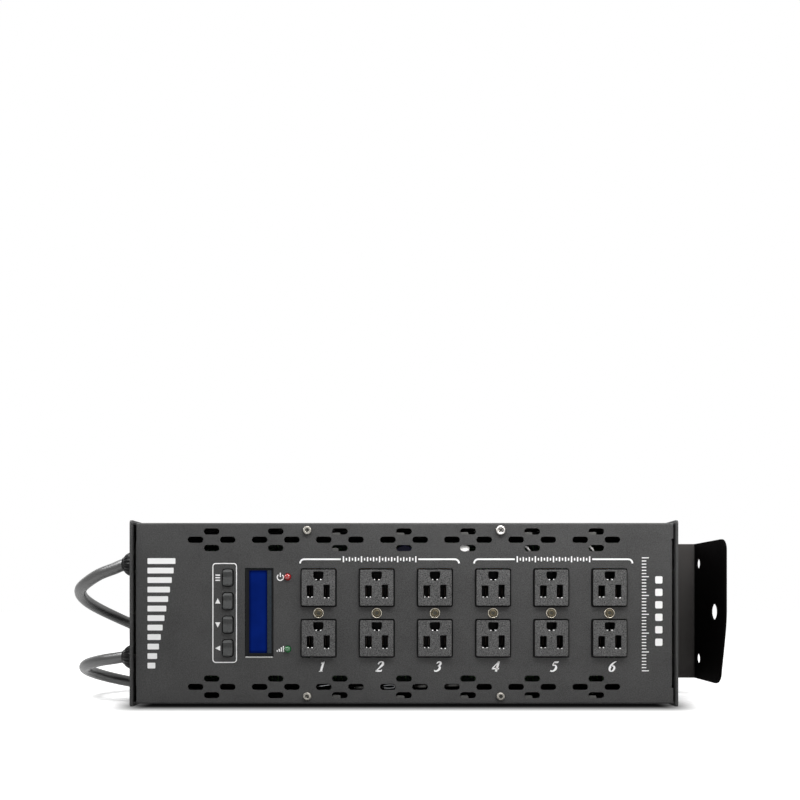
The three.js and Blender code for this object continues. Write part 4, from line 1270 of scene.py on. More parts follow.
@dataclass
class FrontCover:
    """The folded front cover, with its vents, cut-outs and end lips."""

    sheet: float = 1.2
    bend: float = 1.4
    lip_edge: float = 15.75
    lip_depth: float = 12.0
    lip_relief: float = 1.5
    lip_bend: float = 0.6
    lip_set_back: float = 2.1
    end_gap: float = 1.3
    nearly: float = 0.01
    vent_pitch: float = 49.4
    vent_columns: int = 7
    vent_edge: float = 15.05
    vent_size: Point = (12.1, 4.85)
    vent_rise: float = 6.4
    vent_reach: float = 12.4
    face_size: Point = (28.0, 30.0)
    face_corner: float = 1.6
    face_spacing: float = 38.9
    window: Point = (22.0, 69.3)
    window_corner: float = 0.3
    button_hole: Point = (9.2, 14.0)
    button_corner: float = 2.4
    lamp_hole: Point = (5.6, 5.6)
    cover_hole: Point = (4.2, 4.2)
    outlet_hole: Point = (3.9, 3.9)
    cut: float = 4.0

    def height(self) -> float:
        """The height of the case, from the floor to its top edge."""
        return COVER_LOW.z + COVER_HIGH.z

    def fold(self) -> Piece:
        """Folds the cover from a block: two long bends, then a lip at each end.

        Returns:
            The sheet with its thickness.
        """
        fold, corner = COVER_HIGH.x - self.lip_set_back, COVER_HIGH.x - self.end_gap
        end = fold - self.lip_bend
        foot, top = self.lip_edge, self.height() - self.lip_edge
        notch = (foot - self.lip_relief, top + self.lip_relief)

        def is_waste(face: bmesh.types.BMFace) -> bool:
            """Whether a face of the panel lies past a lip or beside the right one.

            Args:
                face: the face.

            Returns:
                Whether it is cut away.
            """
            middle = face.calc_center_median()
            return face.normal.y < -0.1 and (middle.x < -end or middle.x > corner or (
                middle.x > end and notch[0] < middle.z < notch[1]))

        def stands_at(x: float) -> Callable[[bmesh.types.BMEdge], bool]:
            """Makes a test for the edges of a lip that stand at a place along X.

            Args:
                x: the place.

            Returns:
                The test.
            """
            return lambda edge: all(
                abs(vertex.co.x - x) < self.nearly and vertex.co.y < PANEL + self.nearly
                and foot - self.nearly < vertex.co.z < top + self.nearly for vertex in edge.verts)

        piece = Piece.block("front_cover_sheet", COVER_LOW, COVER_HIGH).folded(
            lambda normal: normal.y > 0.5 or abs(normal.x) > 0.5, self.bend)
        cuts = [((x, 0, 0), (1, 0, 0)) for x in (-end, end, corner)]
        cuts += [((0, 0, z), (0, 0, 1)) for z in (foot, top, *notch)]
        with piece.editing():
            for place, normal in cuts:
                bpy.ops.mesh.select_all(action="SELECT")
                bpy.ops.mesh.bisect(plane_co=place, plane_no=normal)
            piece.pick(Pick.FACE, is_waste)
            bpy.ops.mesh.delete(type="FACE")
            for side in (-1, 1):
                piece.pick(Pick.EDGE, stands_at(side * end))
                for step in ((side * self.lip_bend, 0, 0), (0, self.lip_depth, 0)):
                    bpy.ops.mesh.extrude_region_move(TRANSFORM_OT_translate={"value": step})
                piece.pick(Pick.EDGE, stands_at(side * fold))
                bpy.ops.mesh.bevel(offset=self.lip_bend * 0.98, segments=4, affect="EDGES")
            bpy.ops.mesh.select_all(action="SELECT")
            bpy.ops.mesh.normals_make_consistent(inside=False)
        mesh = piece.thing.data
        panel = min(mesh.polygons, key=lambda face: face.center.y - face.area * MM)
        if panel.normal.y > 0:
            mesh.flip_normals()
        return piece.apply("SOLIDIFY", thickness=self.sheet, offset=-1.0)

    def openings(self, size: Point, corner: float, places: Points) -> Piece:
        """Makes a cutter for rounded openings through the panel.

        Args:
            size: width and height.
            corner: the radius of the corners, which is never more than makes the ends round.
            places: the middles. Of each, the first and the last number count.

        Returns:
            All the openings as one piece.
        """
        width, height = (length / 2 for length in size)
        one = Piece.block("opening", (-width, PANEL - self.cut, -height),
                          (width, PANEL + self.cut, height))
        one.rounded(Along.Y, min(corner, height - self.nearly), 8)
        return one.strewn([(place[0], 0, place[-1]) for place in places])

    def vents(self) -> List[Point]:
        """The middles of all the vents: clusters of four in two rows."""
        places = []
        for column in range(self.vent_columns):
            x = (column - (self.vent_columns - 1) / 2) * self.vent_pitch
            for z in (self.vent_edge, self.height() - self.vent_edge):
                places += [(x, z + self.vent_rise), (x, z - self.vent_rise),
                           (x + self.vent_reach, z), (x - self.vent_reach, z)]
        return places

    def build(self) -> None:
        """Folds, cuts and softens the cover."""
        outlets = [CASE.centre(node) for node in OUTLETS]
        half = self.face_spacing / 2
        faces = [(place.x, place.z + rise) for place in outlets for rise in (-half, half)]
        screws = [CASE.centre(f"cover_screw_{index}") for index in range(1, 5)]
        cutters = [self.openings(*plan) for plan in (
            (self.vent_size, math.inf, self.vents()),
            (self.face_size, self.face_corner, faces),
            (self.button_hole, self.button_corner, [CASE.centre(node) for node in BUTTONS]),
            (self.window, self.window_corner, [CASE.centre("display_frame")]),
            (self.lamp_hole, math.inf, [CASE.centre(node) for node in LAMPS]),
            (self.cover_hole, math.inf, screws),
            (self.outlet_hole, math.inf, outlets))]
        cover = self.fold().carve(Piece.joined("openings", cutters))
        cover.soften(0.22).deliver(POWDER_COAT, "case_paint", "front_cover")


@dataclass
class Housing:
    """The other folded sheets: the rear chassis and the two end plates."""

    edge: float = 0.3

    def build(self) -> None:
        """Copies each sheet's solid and softens its edges."""
        for node in ("rear_chassis", "left_end_plate", "right_end_plate"):
            sheet = Piece.copied(node, f"{node}_sheet").soften(self.edge)
            sheet.deliver(POWDER_COAT, "case_paint", node)


@dataclass
class Bracket:
    """The folded hanging bracket on the right end plate."""

    sheet: float = 2.0
    bend: float = 3.5
    leg: float = 40.0
    upper_corner: float = 9.0
    lower_corner: float = 11.0
    bow: float = 9.4
    bow_rise: float = 12.0
    steps: int = 12
    clamp_inset: float = 22.0
    clamp_radius: float = 6.65
    side_inset: float = 10.0
    side_radius: float = 4.5
    side_spacing: float = 81.0

    def outline(self) -> List[Point]:
        """The corners of the waste in front of the flange's bowed edge, as pairs of Y and Z."""
        low, high = CASE.box("mounting_bracket")
        middle, foot = (low.z + high.z) / 2, low.y + self.bow
        upper, lower = self.upper_corner, self.lower_corner
        points = [(low.y - self.bow, low.z - self.bow), (high.y, low.z - self.bow), (high.y, low.z)]
        points += arc((foot + lower, low.z + lower), lower, 270, 180, self.steps)
        start, pull, end = (Vector(place) for place in (
            (foot, low.z + lower), (low.y, middle - self.bow_rise), (low.y, middle)))
        for step in range(1, self.steps + 1):
            share = step / self.steps
            points.append(tuple(start.lerp(pull, share).lerp(pull.lerp(end, share), share)))
        points += arc((low.y + upper, high.z - upper), upper, 180, 90, self.steps)
        rim = high.z + self.bow
        return points + [(high.y, high.z), (high.y, rim), (low.y - self.bow, rim)]

    def build(self) -> None:
        """Folds the sheet, trims the flange and drills it."""
        low, high = CASE.box("mounting_bracket")
        middle = (low.z + high.z) / 2
        piece = Piece.block("mounting_bracket_sheet", low, high).folded(
            lambda normal: normal.y < -0.5 or abs(normal.z) > 0.5, self.bend)
        piece.apply("SOLIDIFY", thickness=self.sheet, offset=-1.0)
        waste = Stencil("waste", [self.outline()])
        piece.carve(waste.solid(3 * (high.x - low.x), sideways((low.x + high.x) / 2)))
        piece.carve(Piece.block("leg_cut", (low.x - 1, low.y - 1, low.z - 1),
                                (low.x + self.bend, high.y - self.leg, high.z + 1)))
        holes = [(low.y + self.clamp_inset, middle, self.clamp_radius)]
        holes += [(high.y - self.side_inset, middle + side * self.side_spacing / 2,
                   self.side_radius) for side in (-1, 1)]
        for y, z, radius in holes:
            profile = [(radius, -5), (radius, 5)]
            piece.carve(Piece.turned("hole", profile, 40, (high.x, y, z), (1, 0, 0)))
        piece.soften(0.35).deliver(BRACKET_COAT, "bracket_paint", "mounting_bracket")


@dataclass
class Outlets:
    """Six outlet pairs: grained faces, a body behind them made black as painted shade in the gaps
    round the faces, and contacts in their slots.
    """

    rises: Point = (-19.45, 19.45)
    face_size: Point = (25.6, 27.5)
    face_corner: float = 0.9
    face_depth: float = 1.3
    slot_drop: float = 2.9
    slots: Points = ((-6.35, 5.2, 9.2), (6.35, 4.8, 10.4))
    slot_corner: float = 0.5
    slot_depth: float = 15.0
    earth_radius: float = 4.0
    earth_rise: float = 9.3
    earth_top: float = 12.4
    earth_corner: float = 0.7
    leaf_offset: float = 1.2
    leaf_lean: float = 0.7
    leaf_depth: Point = (12.0, 14.8)
    leaf_half: Point = (0.25, 3.0)
    tip_offset: float = 1.5
    tip_rise: float = 0.05
    tip_front: float = 0.2
    tip_size: Point = (0.9, 2.0, 0.65)
    clip_offset: float = 1.7
    clip_rise: float = 0.9
    clip_half: Point = (0.5, 0.35)
    clip_reach: Point = (0.25, 3.0)

    def sockets(self) -> Piece:
        """A cutter for all the openings of the first pair."""
        cutters = []
        middle, front = CASE.centre(OUTLETS[0]), CASE.box(OUTLETS[0])[0].y
        radius, corner = self.earth_radius, self.earth_corner
        for rise in self.rises:
            shapes = Stencil("slots")
            for side, width, height in self.slots:
                shapes.bar(side, rise - self.slot_drop, width, height, self.slot_corner)
            top = rise + self.earth_top
            shapes.outlines.append([
                *arc((0, rise + self.earth_rise), radius, 180, 360, 20), (radius, top - corner),
                (radius - corner, top), (corner - radius, top), (-radius, top - corner)])
            place = upright(middle.x, front, middle.z)
            cutters.append(shapes.solid(2 * self.slot_depth, place))
        return Piece.joined("sockets", cutters)

    def contacts(self) -> Tuple[Piece, Piece]:
        """The first pair's contacts.

        Returns:
            Sprung leaves deep in each blade slot, darkened as painted shade, and tips at the
            openings' lower ends, near-white as painted glints.
        """
        middle, front = CASE.centre(OUTLETS[0]), CASE.box(OUTLETS[0])[0].y

        def slab(x: float, z: float, half: Point, reach: Point) -> Piece:
            """A small block about a line that runs back from the front."""
            return Piece.block("slab", (x - half[0], front + reach[0], z - half[1]),
                               (x + half[0], front + reach[1], z + half[1]))

        leaves, tips = [], []
        wide, deep, tall = self.tip_size
        for rise in self.rises:
            for side, _, height in self.slots:
                x, z = middle.x + side, middle.z + rise - self.slot_drop
                for lean in (-1, 1):
                    leaf = slab(x + lean * self.leaf_offset, z, self.leaf_half, self.leaf_depth)
                    with leaf.editing():
                        leaf.pick(Pick.FACE, lambda face: face.normal.y < -0.9)
                        bpy.ops.transform.translate(value=(lean * self.leaf_lean, 0, 0))
                    tip_z = z - height / 2 + tall / 2 + self.tip_rise
                    tip = slab(x + lean * self.tip_offset, tip_z, (wide / 2, tall / 2),
                               (self.tip_front, self.tip_front + deep))
                    leaves.append(leaf.soften(0.1))
                    tips.append(tip.soften(0.15))
            z = middle.z + rise + self.earth_rise - self.earth_radius + self.clip_rise
            tips += [slab(middle.x + side, z, self.clip_half, self.clip_reach).soften(0.2)
                     for side in (-self.clip_offset, self.clip_offset)]
        return Piece.joined("contacts", leaves), Piece.joined("tips", tips)

    def build(self) -> None:
        """Makes the first pair and copies it along the panel."""
        first, (low, high) = CASE.centre(OUTLETS[0]), CASE.box(OUTLETS[0])
        depth = low.y + self.face_depth
        wide, tall = (size / 2 for size in self.face_size)
        plates = [
            Piece.block("plate", (first.x - wide, low.y, first.z + rise - tall),
                        (first.x + wide, depth, first.z + rise + tall))
            for rise in self.rises]
        face = Piece.joined("face", [
            plate.rounded(Along.Y, self.face_corner, 4) for plate in plates])
        body = Piece.copied(OUTLETS[0], "body")
        body.carve(Piece.block("slice", (low.x - 1, depth, low.z - 1),
                               (high.x + 1, high.y + 1, high.z + 1)), "INTERSECT")
        for part in (face, body):
            part.carve(self.sockets())
        leaves, tips = self.contacts()
        face.soften(0.35).repeated(OUTLETS, "face", OUTLET_PLASTIC, "outlet_plastic", True)
        # The moulding behind the faces gets black plastic: painted shade in the gaps round the
        # faces.
        body.soften(0.2, 1).repeated(OUTLETS, "body", BLACK_PLASTIC, "outlet_plastic")
        leaves.repeated(OUTLETS, "contacts", BRONZE_IN_SHADE, "connector_metal")
        tips.repeated(OUTLETS, "tips", TIN_GLINT, "connector_metal")


@dataclass
class PanScrew:
    """A cross-head screw with a rounded head and a dish round its recess.

    It is modelled once, with its head towards -Y, and driven in many places.
    """

    radius: float
    height: float
    dish: float = 0.56
    shank: float = 3.0
    sides: int = 36

    def make(self) -> Piece:
        """Turns the head, cuts the cross and marks the recess where shade is painted.

        Returns:
            The screw.
        """
        radius, height, dish = self.radius, self.height, self.dish
        shares = [(0.5, -self.shank / height), (0.5, 0), (0.96, 0), (1, 0.12), (1, 0.45),
                  (0.97, 0.66), (0.9, 0.85), (0.78, 0.97), (dish + 0.08, 1.0), (dish, 0.93),
                  (dish - 0.06, 0.74), (0.3, 0.6), (0.06, 0.56)]
        profile = [(radius * wide, height * high) for wide, high in shares]
        screw = Piece.turned("screw", profile, self.sides, (0, 0, 0), FRONT)
        reach, thick, foot = radius * (dish + 0.12), radius * 0.13, -height * 0.1
        for wide, tall in ((reach, thick), (thick, reach)):
            arm = Piece.block("arm", (-wide, -height * 1.4, -tall), (wide, foot, tall))
            screw.carve(arm.resized(
                Pick.FACE, lambda face: face.normal.y > 0.9, (0.5, 1, 0.5), (0, foot, 0)))
        screw.soften(radius * 0.03, 1)
        mesh = screw.thing.data
        # How deep a vertex lies in the recess sets how much shade the finish paints there.
        grime = mesh.attributes.new("grime", "FLOAT", "POINT")
        for vertex, entry in zip(mesh.vertices, grime.data):
            out = math.hypot(vertex.co.x, vertex.co.z) / radius
            deep = -vertex.co.y / height
            entry.value = 0.0 if out > dish + 0.04 else min(1.0, max(0.0, 1.55 - 1.5 * deep))
        return screw


@dataclass
class Fasteners:
    """All the screws and bolts of the case."""

    turn: float = 1.1
    plate_rows: Point = (-35.0, 35.0)
    plate_heights: Point = (39.25, 71.75, 104.25)
    bolt_y: float = 12.0
    bolt_rises: Point = (-25.0, 25.0)
    bracket_sheet: float = 2.0
    flange_offsets: Points = ((9.5, -12.0), (-9.5, 12.0))
    eyelet: Points = (
        (1.7, -0.6), (3.1, -0.6), (3.1, 0), (4.0, 0), (4.05, 0.2), (3.95, 0.7), (3.7, 1.0),
        (3.45, 0.9), (3.25, 0.3), (3.2, -0.3), (1.7, -0.4))

    def drive(self, screw: Piece, name: str, place: Point, way: Point, turn: float) -> Piece:
        """Copies a screw to its place.

        Args:
            screw: the screw at the origin.
            name: the copy's name.
            place: where its head sits.
            way: the direction in which its head points.
            turn: how far it is turned about itself.

        Returns:
            The copy.
        """
        face = Vector(FRONT).rotation_difference(Vector(way)).to_matrix().to_4x4()
        return screw.moved(name, Matrix.Translation(place) @ face @ Matrix.Rotation(turn, 4, "Y"))

    def panel(self) -> None:
        """Drives the screws of the outlets, with their eyelets, and those of the cover."""
        small, large, dull = (PanScrew(*sizes).make() for sizes in (
            (2.9, 1.3, 0.62), (3.7, 2.1, 0.6), (3.3, 2.1, 0.45)))
        eyelet = Piece.turned("eyelet", self.eyelet, 40, (0, 0, 0), FRONT).soften(0.08, 2, 25)
        for index in range(1, 7):
            node = f"outlet_screw_{index}"
            middle = CASE.centre(node)
            place = (middle.x, PANEL, middle.z)
            copy = self.drive(small, f"{node}_head", place, FRONT, index * self.turn)
            copy.deliver(BRASSED_NICKEL, "nickel_screw", node)
            copy = self.drive(eyelet, f"outlet_eyelet_{index}", place, FRONT, 0)
            copy.deliver(EYELET_NICKEL, "nickel_screw")
        for index in range(1, 5):
            node = f"cover_screw_{index}"
            middle = CASE.centre(node)
            bright = middle.x > 0 and middle.z > COVER_HIGH.z / 2
            screw, finish = (large, ZINC) if bright else (dull, DULL_ZINC)
            copy = self.drive(screw, f"{node}_head", (middle.x, PANEL, middle.z), FRONT,
                              (index + 0.5) * self.turn)
            copy.deliver(finish, "zinc_screw", node)
        for screw in (small, eyelet, large, dull):
            screw.remove()

    def ends(self) -> None:
        """Drives the screws of the end plates, the bracket and the data connectors."""
        plate, bolt, flange = (PanScrew(*sizes).make() for sizes in (
            (2.7, 1.5), (5.2, 3.4), (2.4, 1.2)))
        left, right = CASE.box("left_end_plate")[0].x, CASE.box("right_end_plate")[1].x
        for side, x, way in (("left", left, -1), ("right", right, 1)):
            for row, y in enumerate(self.plate_rows):
                for step, z in enumerate(self.plate_heights):
                    name = f"{side}_plate_screw_{row * 3 + step + 1}"
                    turn = (row + step) * self.turn
                    copy = self.drive(plate, name, (x, y, z), (way, 0, 0), turn)
                    copy.deliver(BLACK_ZINC, "zinc_screw")
        middle = CASE.centre("mounting_bracket").z
        for step, rise in enumerate(self.bolt_rises):
            place = (right + self.bracket_sheet, self.bolt_y, middle + rise)
            copy = self.drive(bolt, f"bracket_bolt_{step + 1}", place, (1, 0, 0), step * self.turn)
            copy.deliver(ZINC, "zinc_screw")
        for node in ("data_inlet", "data_outlet"):
            middle = CASE.centre(node)
            for step, (across, up) in enumerate(self.flange_offsets):
                place = (CASE.box(node)[0].x, middle.y - across, middle.z - up)
                copy = self.drive(flange, f"{node}_screw_{step + 1}", place, LEFT, step)
                copy.deliver(BLACK_ZINC, "zinc_screw")
        for screw in (plate, bolt, flange):
            screw.remove()

    def build(self) -> None:
        """Drives every screw."""
        self.panel()
        self.ends()


NUMERALS: Sequence[Sequence[Points]] = (
    (((-0.16, 0.8, 0.05), (-0.04, 0.86, 0.13), (0.05, 0.97, 0.1)),
     ((0.04, 0.98, 0.17), (0.04, 0.5, 0.2), (0.04, 0.04, 0.2)),
     ((-0.15, 0.03, 0.06), (0.04, 0.04, 0.08), (0.22, 0.03, 0.06))),
    (((-0.24, 0.72, 0.1), (-0.16, 0.9, 0.12), (0.02, 0.96, 0.1), (0.18, 0.86, 0.2),
      (0.19, 0.66, 0.22), (0.02, 0.42, 0.15), (-0.14, 0.22, 0.1), (-0.25, 0.08, 0.1)),
     ((-0.3, 0.07, 0.12), (-0.05, 0.08, 0.17), (0.2, 0.07, 0.15), (0.27, 0.2, 0.05))),
    (((-0.22, 0.8, 0.08), (-0.1, 0.93, 0.12), (0.06, 0.93, 0.15), (0.16, 0.8, 0.2),
      (0.1, 0.62, 0.16), (-0.06, 0.54, 0.07)),
     ((-0.06, 0.55, 0.07), (0.12, 0.5, 0.14), (0.2, 0.32, 0.22), (0.08, 0.12, 0.18),
      (-0.12, 0.05, 0.12), (-0.26, 0.12, 0.14))),
    (((0.1, 0.98, 0.1), (-0.1, 0.66, 0.09), (-0.33, 0.33, 0.09)),
     ((-0.36, 0.3, 0.15), (0.0, 0.3, 0.15), (0.32, 0.3, 0.15)),
     ((0.11, 1.0, 0.2), (0.11, 0.5, 0.21), (0.11, 0.01, 0.21))),
    (((0.26, 0.99, 0.1), (0.14, 0.91, 0.18), (-0.12, 0.92, 0.15)),
     ((-0.12, 0.94, 0.08), (-0.17, 0.76, 0.09), (-0.2, 0.6, 0.1)),
     ((-0.2, 0.6, 0.1), (0.02, 0.62, 0.12), (0.18, 0.46, 0.2), (0.18, 0.26, 0.22),
      (0.04, 0.09, 0.16), (-0.14, 0.05, 0.12), (-0.27, 0.11, 0.14))),
    (((0.24, 0.98, 0.06), (0.04, 0.88, 0.12), (-0.14, 0.64, 0.19), (-0.22, 0.36, 0.21),
      (-0.15, 0.12, 0.17), (0.02, 0.04, 0.1), (0.18, 0.14, 0.17), (0.22, 0.36, 0.2),
      (0.12, 0.53, 0.13), (-0.06, 0.54, 0.07), (-0.13, 0.48, 0.05)),),
)


@dataclass
class PanelPrint:
    """White print on the panel: lines, numbers and plain marks. It has no words."""

    line: float = 1.3
    line_z: float = 113.4
    lines: Sequence[Tuple[str, float, float, Point]] = (
        ("a", -80.0, 42.4, (-47.6, 10.1)), ("b", 54.0, 176.0, (86.3, 144.0)))
    curl: float = 3.2
    line_steps: int = 24
    tick_width: float = 1.0
    tick_heights: Point = (4.6, 3.4, 2.0)
    numeral_height: float = 8.0
    numeral_z: float = 30.8
    numeral_shift: float = 2.5
    numeral_slant: float = 0.3
    frame_x: float = -138.05
    frame_size: Point = (18.9, 76.9)
    frame_corner: float = 2.6
    frame_line: float = 0.75
    sign_x: float = -143.4
    lamp_sign_gap: float = 5.6
    sign_radius: float = 2.4
    rungs: int = 12
    rung_x: float = -197.5
    rung_widths: Point = (6.0, 21.5)
    rung_heights: Point = (31.5, 112.0)
    rung_line: Point = (4.4, 0.6)
    channel_place: Point = (196.3, 49.5)
    channel_pitch: float = 9.6
    channel_size: Point = (5.6, 5.6, 1.0)
    scale_x: float = 183.2
    scale_heights: Point = (27.5, 114.5)
    scale_widths: Point = (5.4, 3.4)
    scale_line: float = 0.75
    scale_steps: int = 36

    def line_marks(self) -> None:
        """A bracket line over each group of three outlets, with a plain scale in its gap."""
        for letter, start, end, gap in self.lines:
            stencil = Stencil(f"print_line_{letter}")
            low, high = gap[0] + 1, gap[1] - 1
            for edge, inner, side in ((start, gap[0] - 1, 1), (end, gap[1] + 1, -1)):
                middle = (edge + side * self.curl, self.line_z - self.curl)
                bend = arc(middle, self.curl, 90 + side * 90, 90, 6)
                stencil.stroke([*bend, (inner, self.line_z)], self.line)
            for step in range(self.line_steps + 1):
                height = self.tick_heights[0 if step % 6 == 0 else 1 if step % 2 == 0 else 2]
                x = low + (high - low) * step / self.line_steps
                stencil.bar(x, self.line_z, self.tick_width, height)
            stencil.printed()

    def numerals(self) -> None:
        """Slanted numbers with thick and thin strokes under the outlets."""
        tall = self.numeral_height
        for index, (node, strokes) in enumerate(zip(OUTLETS, NUMERALS), 1):
            place = CASE.centre(node).x + self.numeral_shift
            for part, stroke in enumerate(strokes, 1):
                stencil = Stencil(f"print_numeral_{index}_{part}")
                stencil.brush([
                    (place + (x + self.numeral_slant * (z - 0.5)) * tall,
                     self.numeral_z + (z - 0.5) * tall, width * tall) for x, z, width in stroke])
                stencil.printed()

    def control_marks(self) -> None:
        """The frame round the buttons and a plain sign beside each button."""
        stencil = Stencil("print_controls")
        middle = (CASE.box("button_back")[0].z + CASE.box("button_menu")[1].z) / 2
        for inset in (0, self.frame_line):
            width, height = (size - 2 * inset for size in self.frame_size)
            stencil.bar(self.frame_x, middle, width, height, self.frame_corner - inset)
        x, (menu, up, down, back) = self.sign_x, (CASE.centre(node).z for node in BUTTONS)
        for rise in (-2, 0, 2):
            stencil.bar(x, menu + rise, 3.6, 0.9)
        for z, way in ((up, 1), (down, -1)):
            foot = z - 1.8 * way
            stencil.outlines.append([(x - 2, foot), (x + 2, foot), (x, z + 2.2 * way)])
        stencil.outlines.append([(x + 2, back + 2), (x + 2, back - 2), (x - 2, back)])
        stencil.printed()

    def lamp_marks(self) -> None:
        """A sign for supply and one for signal, beside their lamps."""
        stencil = Stencil("print_lamps")
        supply, signal = (CASE.centre(node) for node in LAMPS)
        x = supply.x - self.lamp_sign_gap
        stencil.stroke(arc((x, supply.z - 0.4), self.sign_radius, 50, -230, 20), 0.8)
        stencil.bar(x, supply.z + 1.4, 0.8, 3.4)
        for step in range(4):
            stencil.bar(x - 2.4 + step * 1.6, signal.z - 2 + 0.55 * (step + 1), 0.9,
                        1.1 * (step + 1))
        stencil.printed()

    def level_marks(self) -> None:
        """A ladder of level bars at the left end, and channel squares with a scale at the right."""
        def between(ends: Point, share: float) -> float:
            """A number part of the way from one end to the other."""
            return ends[0] + (ends[1] - ends[0]) * share

        ladder = Stencil("print_levels")
        for step in range(self.rungs):
            share = step / (self.rungs - 1)
            width = between(self.rung_widths, share)
            ladder.bar(self.rung_x + width / 2, between(self.rung_heights, share), width,
                       *self.rung_line)
        ladder.printed()
        channels = Stencil("print_channels")
        x, z = self.channel_place
        for step in range(len(OUTLETS)):
            channels.bar(x, z + self.channel_pitch * step, *self.channel_size)
        for step in range(self.scale_steps + 1):
            width = self.scale_widths[step % 6 > 0]
            z = between(self.scale_heights, step / self.scale_steps)
            channels.bar(self.scale_x + width / 2, z, width, self.scale_line)
        channels.printed()

    def build(self) -> None:
        """Prints everything."""
        self.line_marks()
        self.numerals()
        self.control_marks()
        self.lamp_marks()
        self.level_marks()


@dataclass
class Display:
    """The display: bezel with a sloping rim, blue glass, its margin and a pale sill that is a
    painted highlight.
    """

    size: Point = (21.4, 68.7)
    rim: float = 1.0
    rim_edge: float = 0.15
    slope: float = 0.6
    recess: float = 0.3
    glass_drop: float = 1.2
    glass_gap: float = 0.05
    margin_gaps: Point = (0.3, 0.4)
    margin_reach: Point = (-0.12, 0.5)
    sill_reach: Point = (0.02, 0.6)
    sill_rise: Point = (-0.25, 0.75)

    def build(self) -> None:
        """Makes the four pieces in the panel's window."""
        low, high = CASE.box("display_glass")
        window, back = CASE.centre("display_frame"), CASE.box("display_frame")[1].y
        wide, tall = (size / 2 for size in self.size)
        left, right, foot = window.x - wide, window.x + wide, window.z - tall
        bezel = Piece.block("display_bezel", (left, PANEL + self.recess, foot),
                            (right, back, window.z + tall))
        with bezel.editing():
            bezel.pick(Pick.FACE, lambda face: face.normal.y < -0.9)
            bpy.ops.mesh.inset(thickness=self.rim_edge)
            bpy.ops.mesh.inset(thickness=self.rim, depth=-self.slope)
        bezel.carve(Piece.block("opening", (low.x, PANEL - 2, low.z), (high.x, back + 2, high.z)))
        bezel.soften(0.12).deliver(BEZEL_PLASTIC, "frame_plastic", "display_frame")
        gap = self.glass_gap
        glass = Piece.block("display_pane", (low.x + gap, PANEL + self.glass_drop, low.z + gap),
                            (high.x - gap, high.y, high.z - gap))
        glass.soften(0.1).deliver(DISPLAY_BLUE, "display", "display_glass")
        start, end = (PANEL + self.recess + self.slope + reach for reach in self.margin_reach)
        inner, outer = self.margin_gaps
        margin = Piece.block("display_margin", (high.x + inner, start, low.z),
                             (right - self.rim - outer, end, high.z))
        margin.soften(0.1).deliver(DISPLAY_MARGIN, "frame_plastic")
        # The sill stands for the light caught by the window's lower edge: painted highlight.
        sill = Piece.block("display_sill", *(
            (x, PANEL + reach, foot + rise)
            for x, reach, rise in zip((left, right), self.sill_reach, self.sill_rise)))
        sill.soften(0.2).deliver(SILL_HIGHLIGHT, "frame_plastic")


@dataclass
class Buttons:
    """Four push buttons, whose caps slope in to a shallow valley across their middle."""

    half_width: float = 3.5
    collar_margin: float = 1.9
    corner: float = 1.6
    cap_back: float = 2.4
    collar_reach: Point = (1.5, 2.7)
    plunger_start: float = 2.2
    slope: Points = ((2.3, 0.4), (0.0, -1.9), (1.35, -5.6), (0.0, -11.6), (0.9, -13.2))

    def cap(self, name: str, low: Vector, high: Vector) -> Piece:
        """Shapes a cap: a bright slope along its top, then the two sides of the valley.

        Args:
            name: the cap's name.
            low: its lowest corner.
            high: its highest corner.

        Returns:
            The cap.
        """
        front = [(low.y + deep, high.z + drop) for deep, drop in self.slope]
        waste = Stencil("waste", [[(low.y - 3, front[0][1]), *front, (low.y - 3, front[-1][1])]])
        cap = Piece.block(name, low, high).rounded(Along.Y, self.corner, 5)
        cap.carve(waste.solid(2 * (high.x - low.x), sideways((low.x + high.x) / 2)))
        return cap.soften(0.35, 3, 20)

    def build(self) -> None:
        """Shapes each button from its cap, collar and plunger."""
        start, end = (PANEL + reach for reach in self.collar_reach)
        for node in BUTTONS:
            low, high = CASE.box(node)
            x, _, z = (low + high) / 2
            wide, tall = self.half_width, (high.z - low.z) / 2 - self.collar_margin
            cap = self.cap(f"{node}_cap", Vector((x - wide, low.y, z - tall)),
                           Vector((x + wide, PANEL + self.cap_back, z + tall)))
            body = f"{node.split('_')[1]}_button"
            cap.deliver(BUTTON_PLASTIC, "button_plastic", node, body=body)
            collar = Piece.block("collar", (low.x, start, low.z), (high.x, end, high.z))
            collar.rounded(Along.Y, self.corner, 3).soften(0.15)
            profile = [(1.5, PANEL + self.plunger_start), (1.5, high.y)]
            plunger = Piece.turned("plunger", profile, 16, (x, 0, z), (0, 1, 0))
            base = Piece.joined(f"{node}_collar", [collar, plunger])
            base.deliver(BLACK_PLASTIC, "button_plastic", body=body)


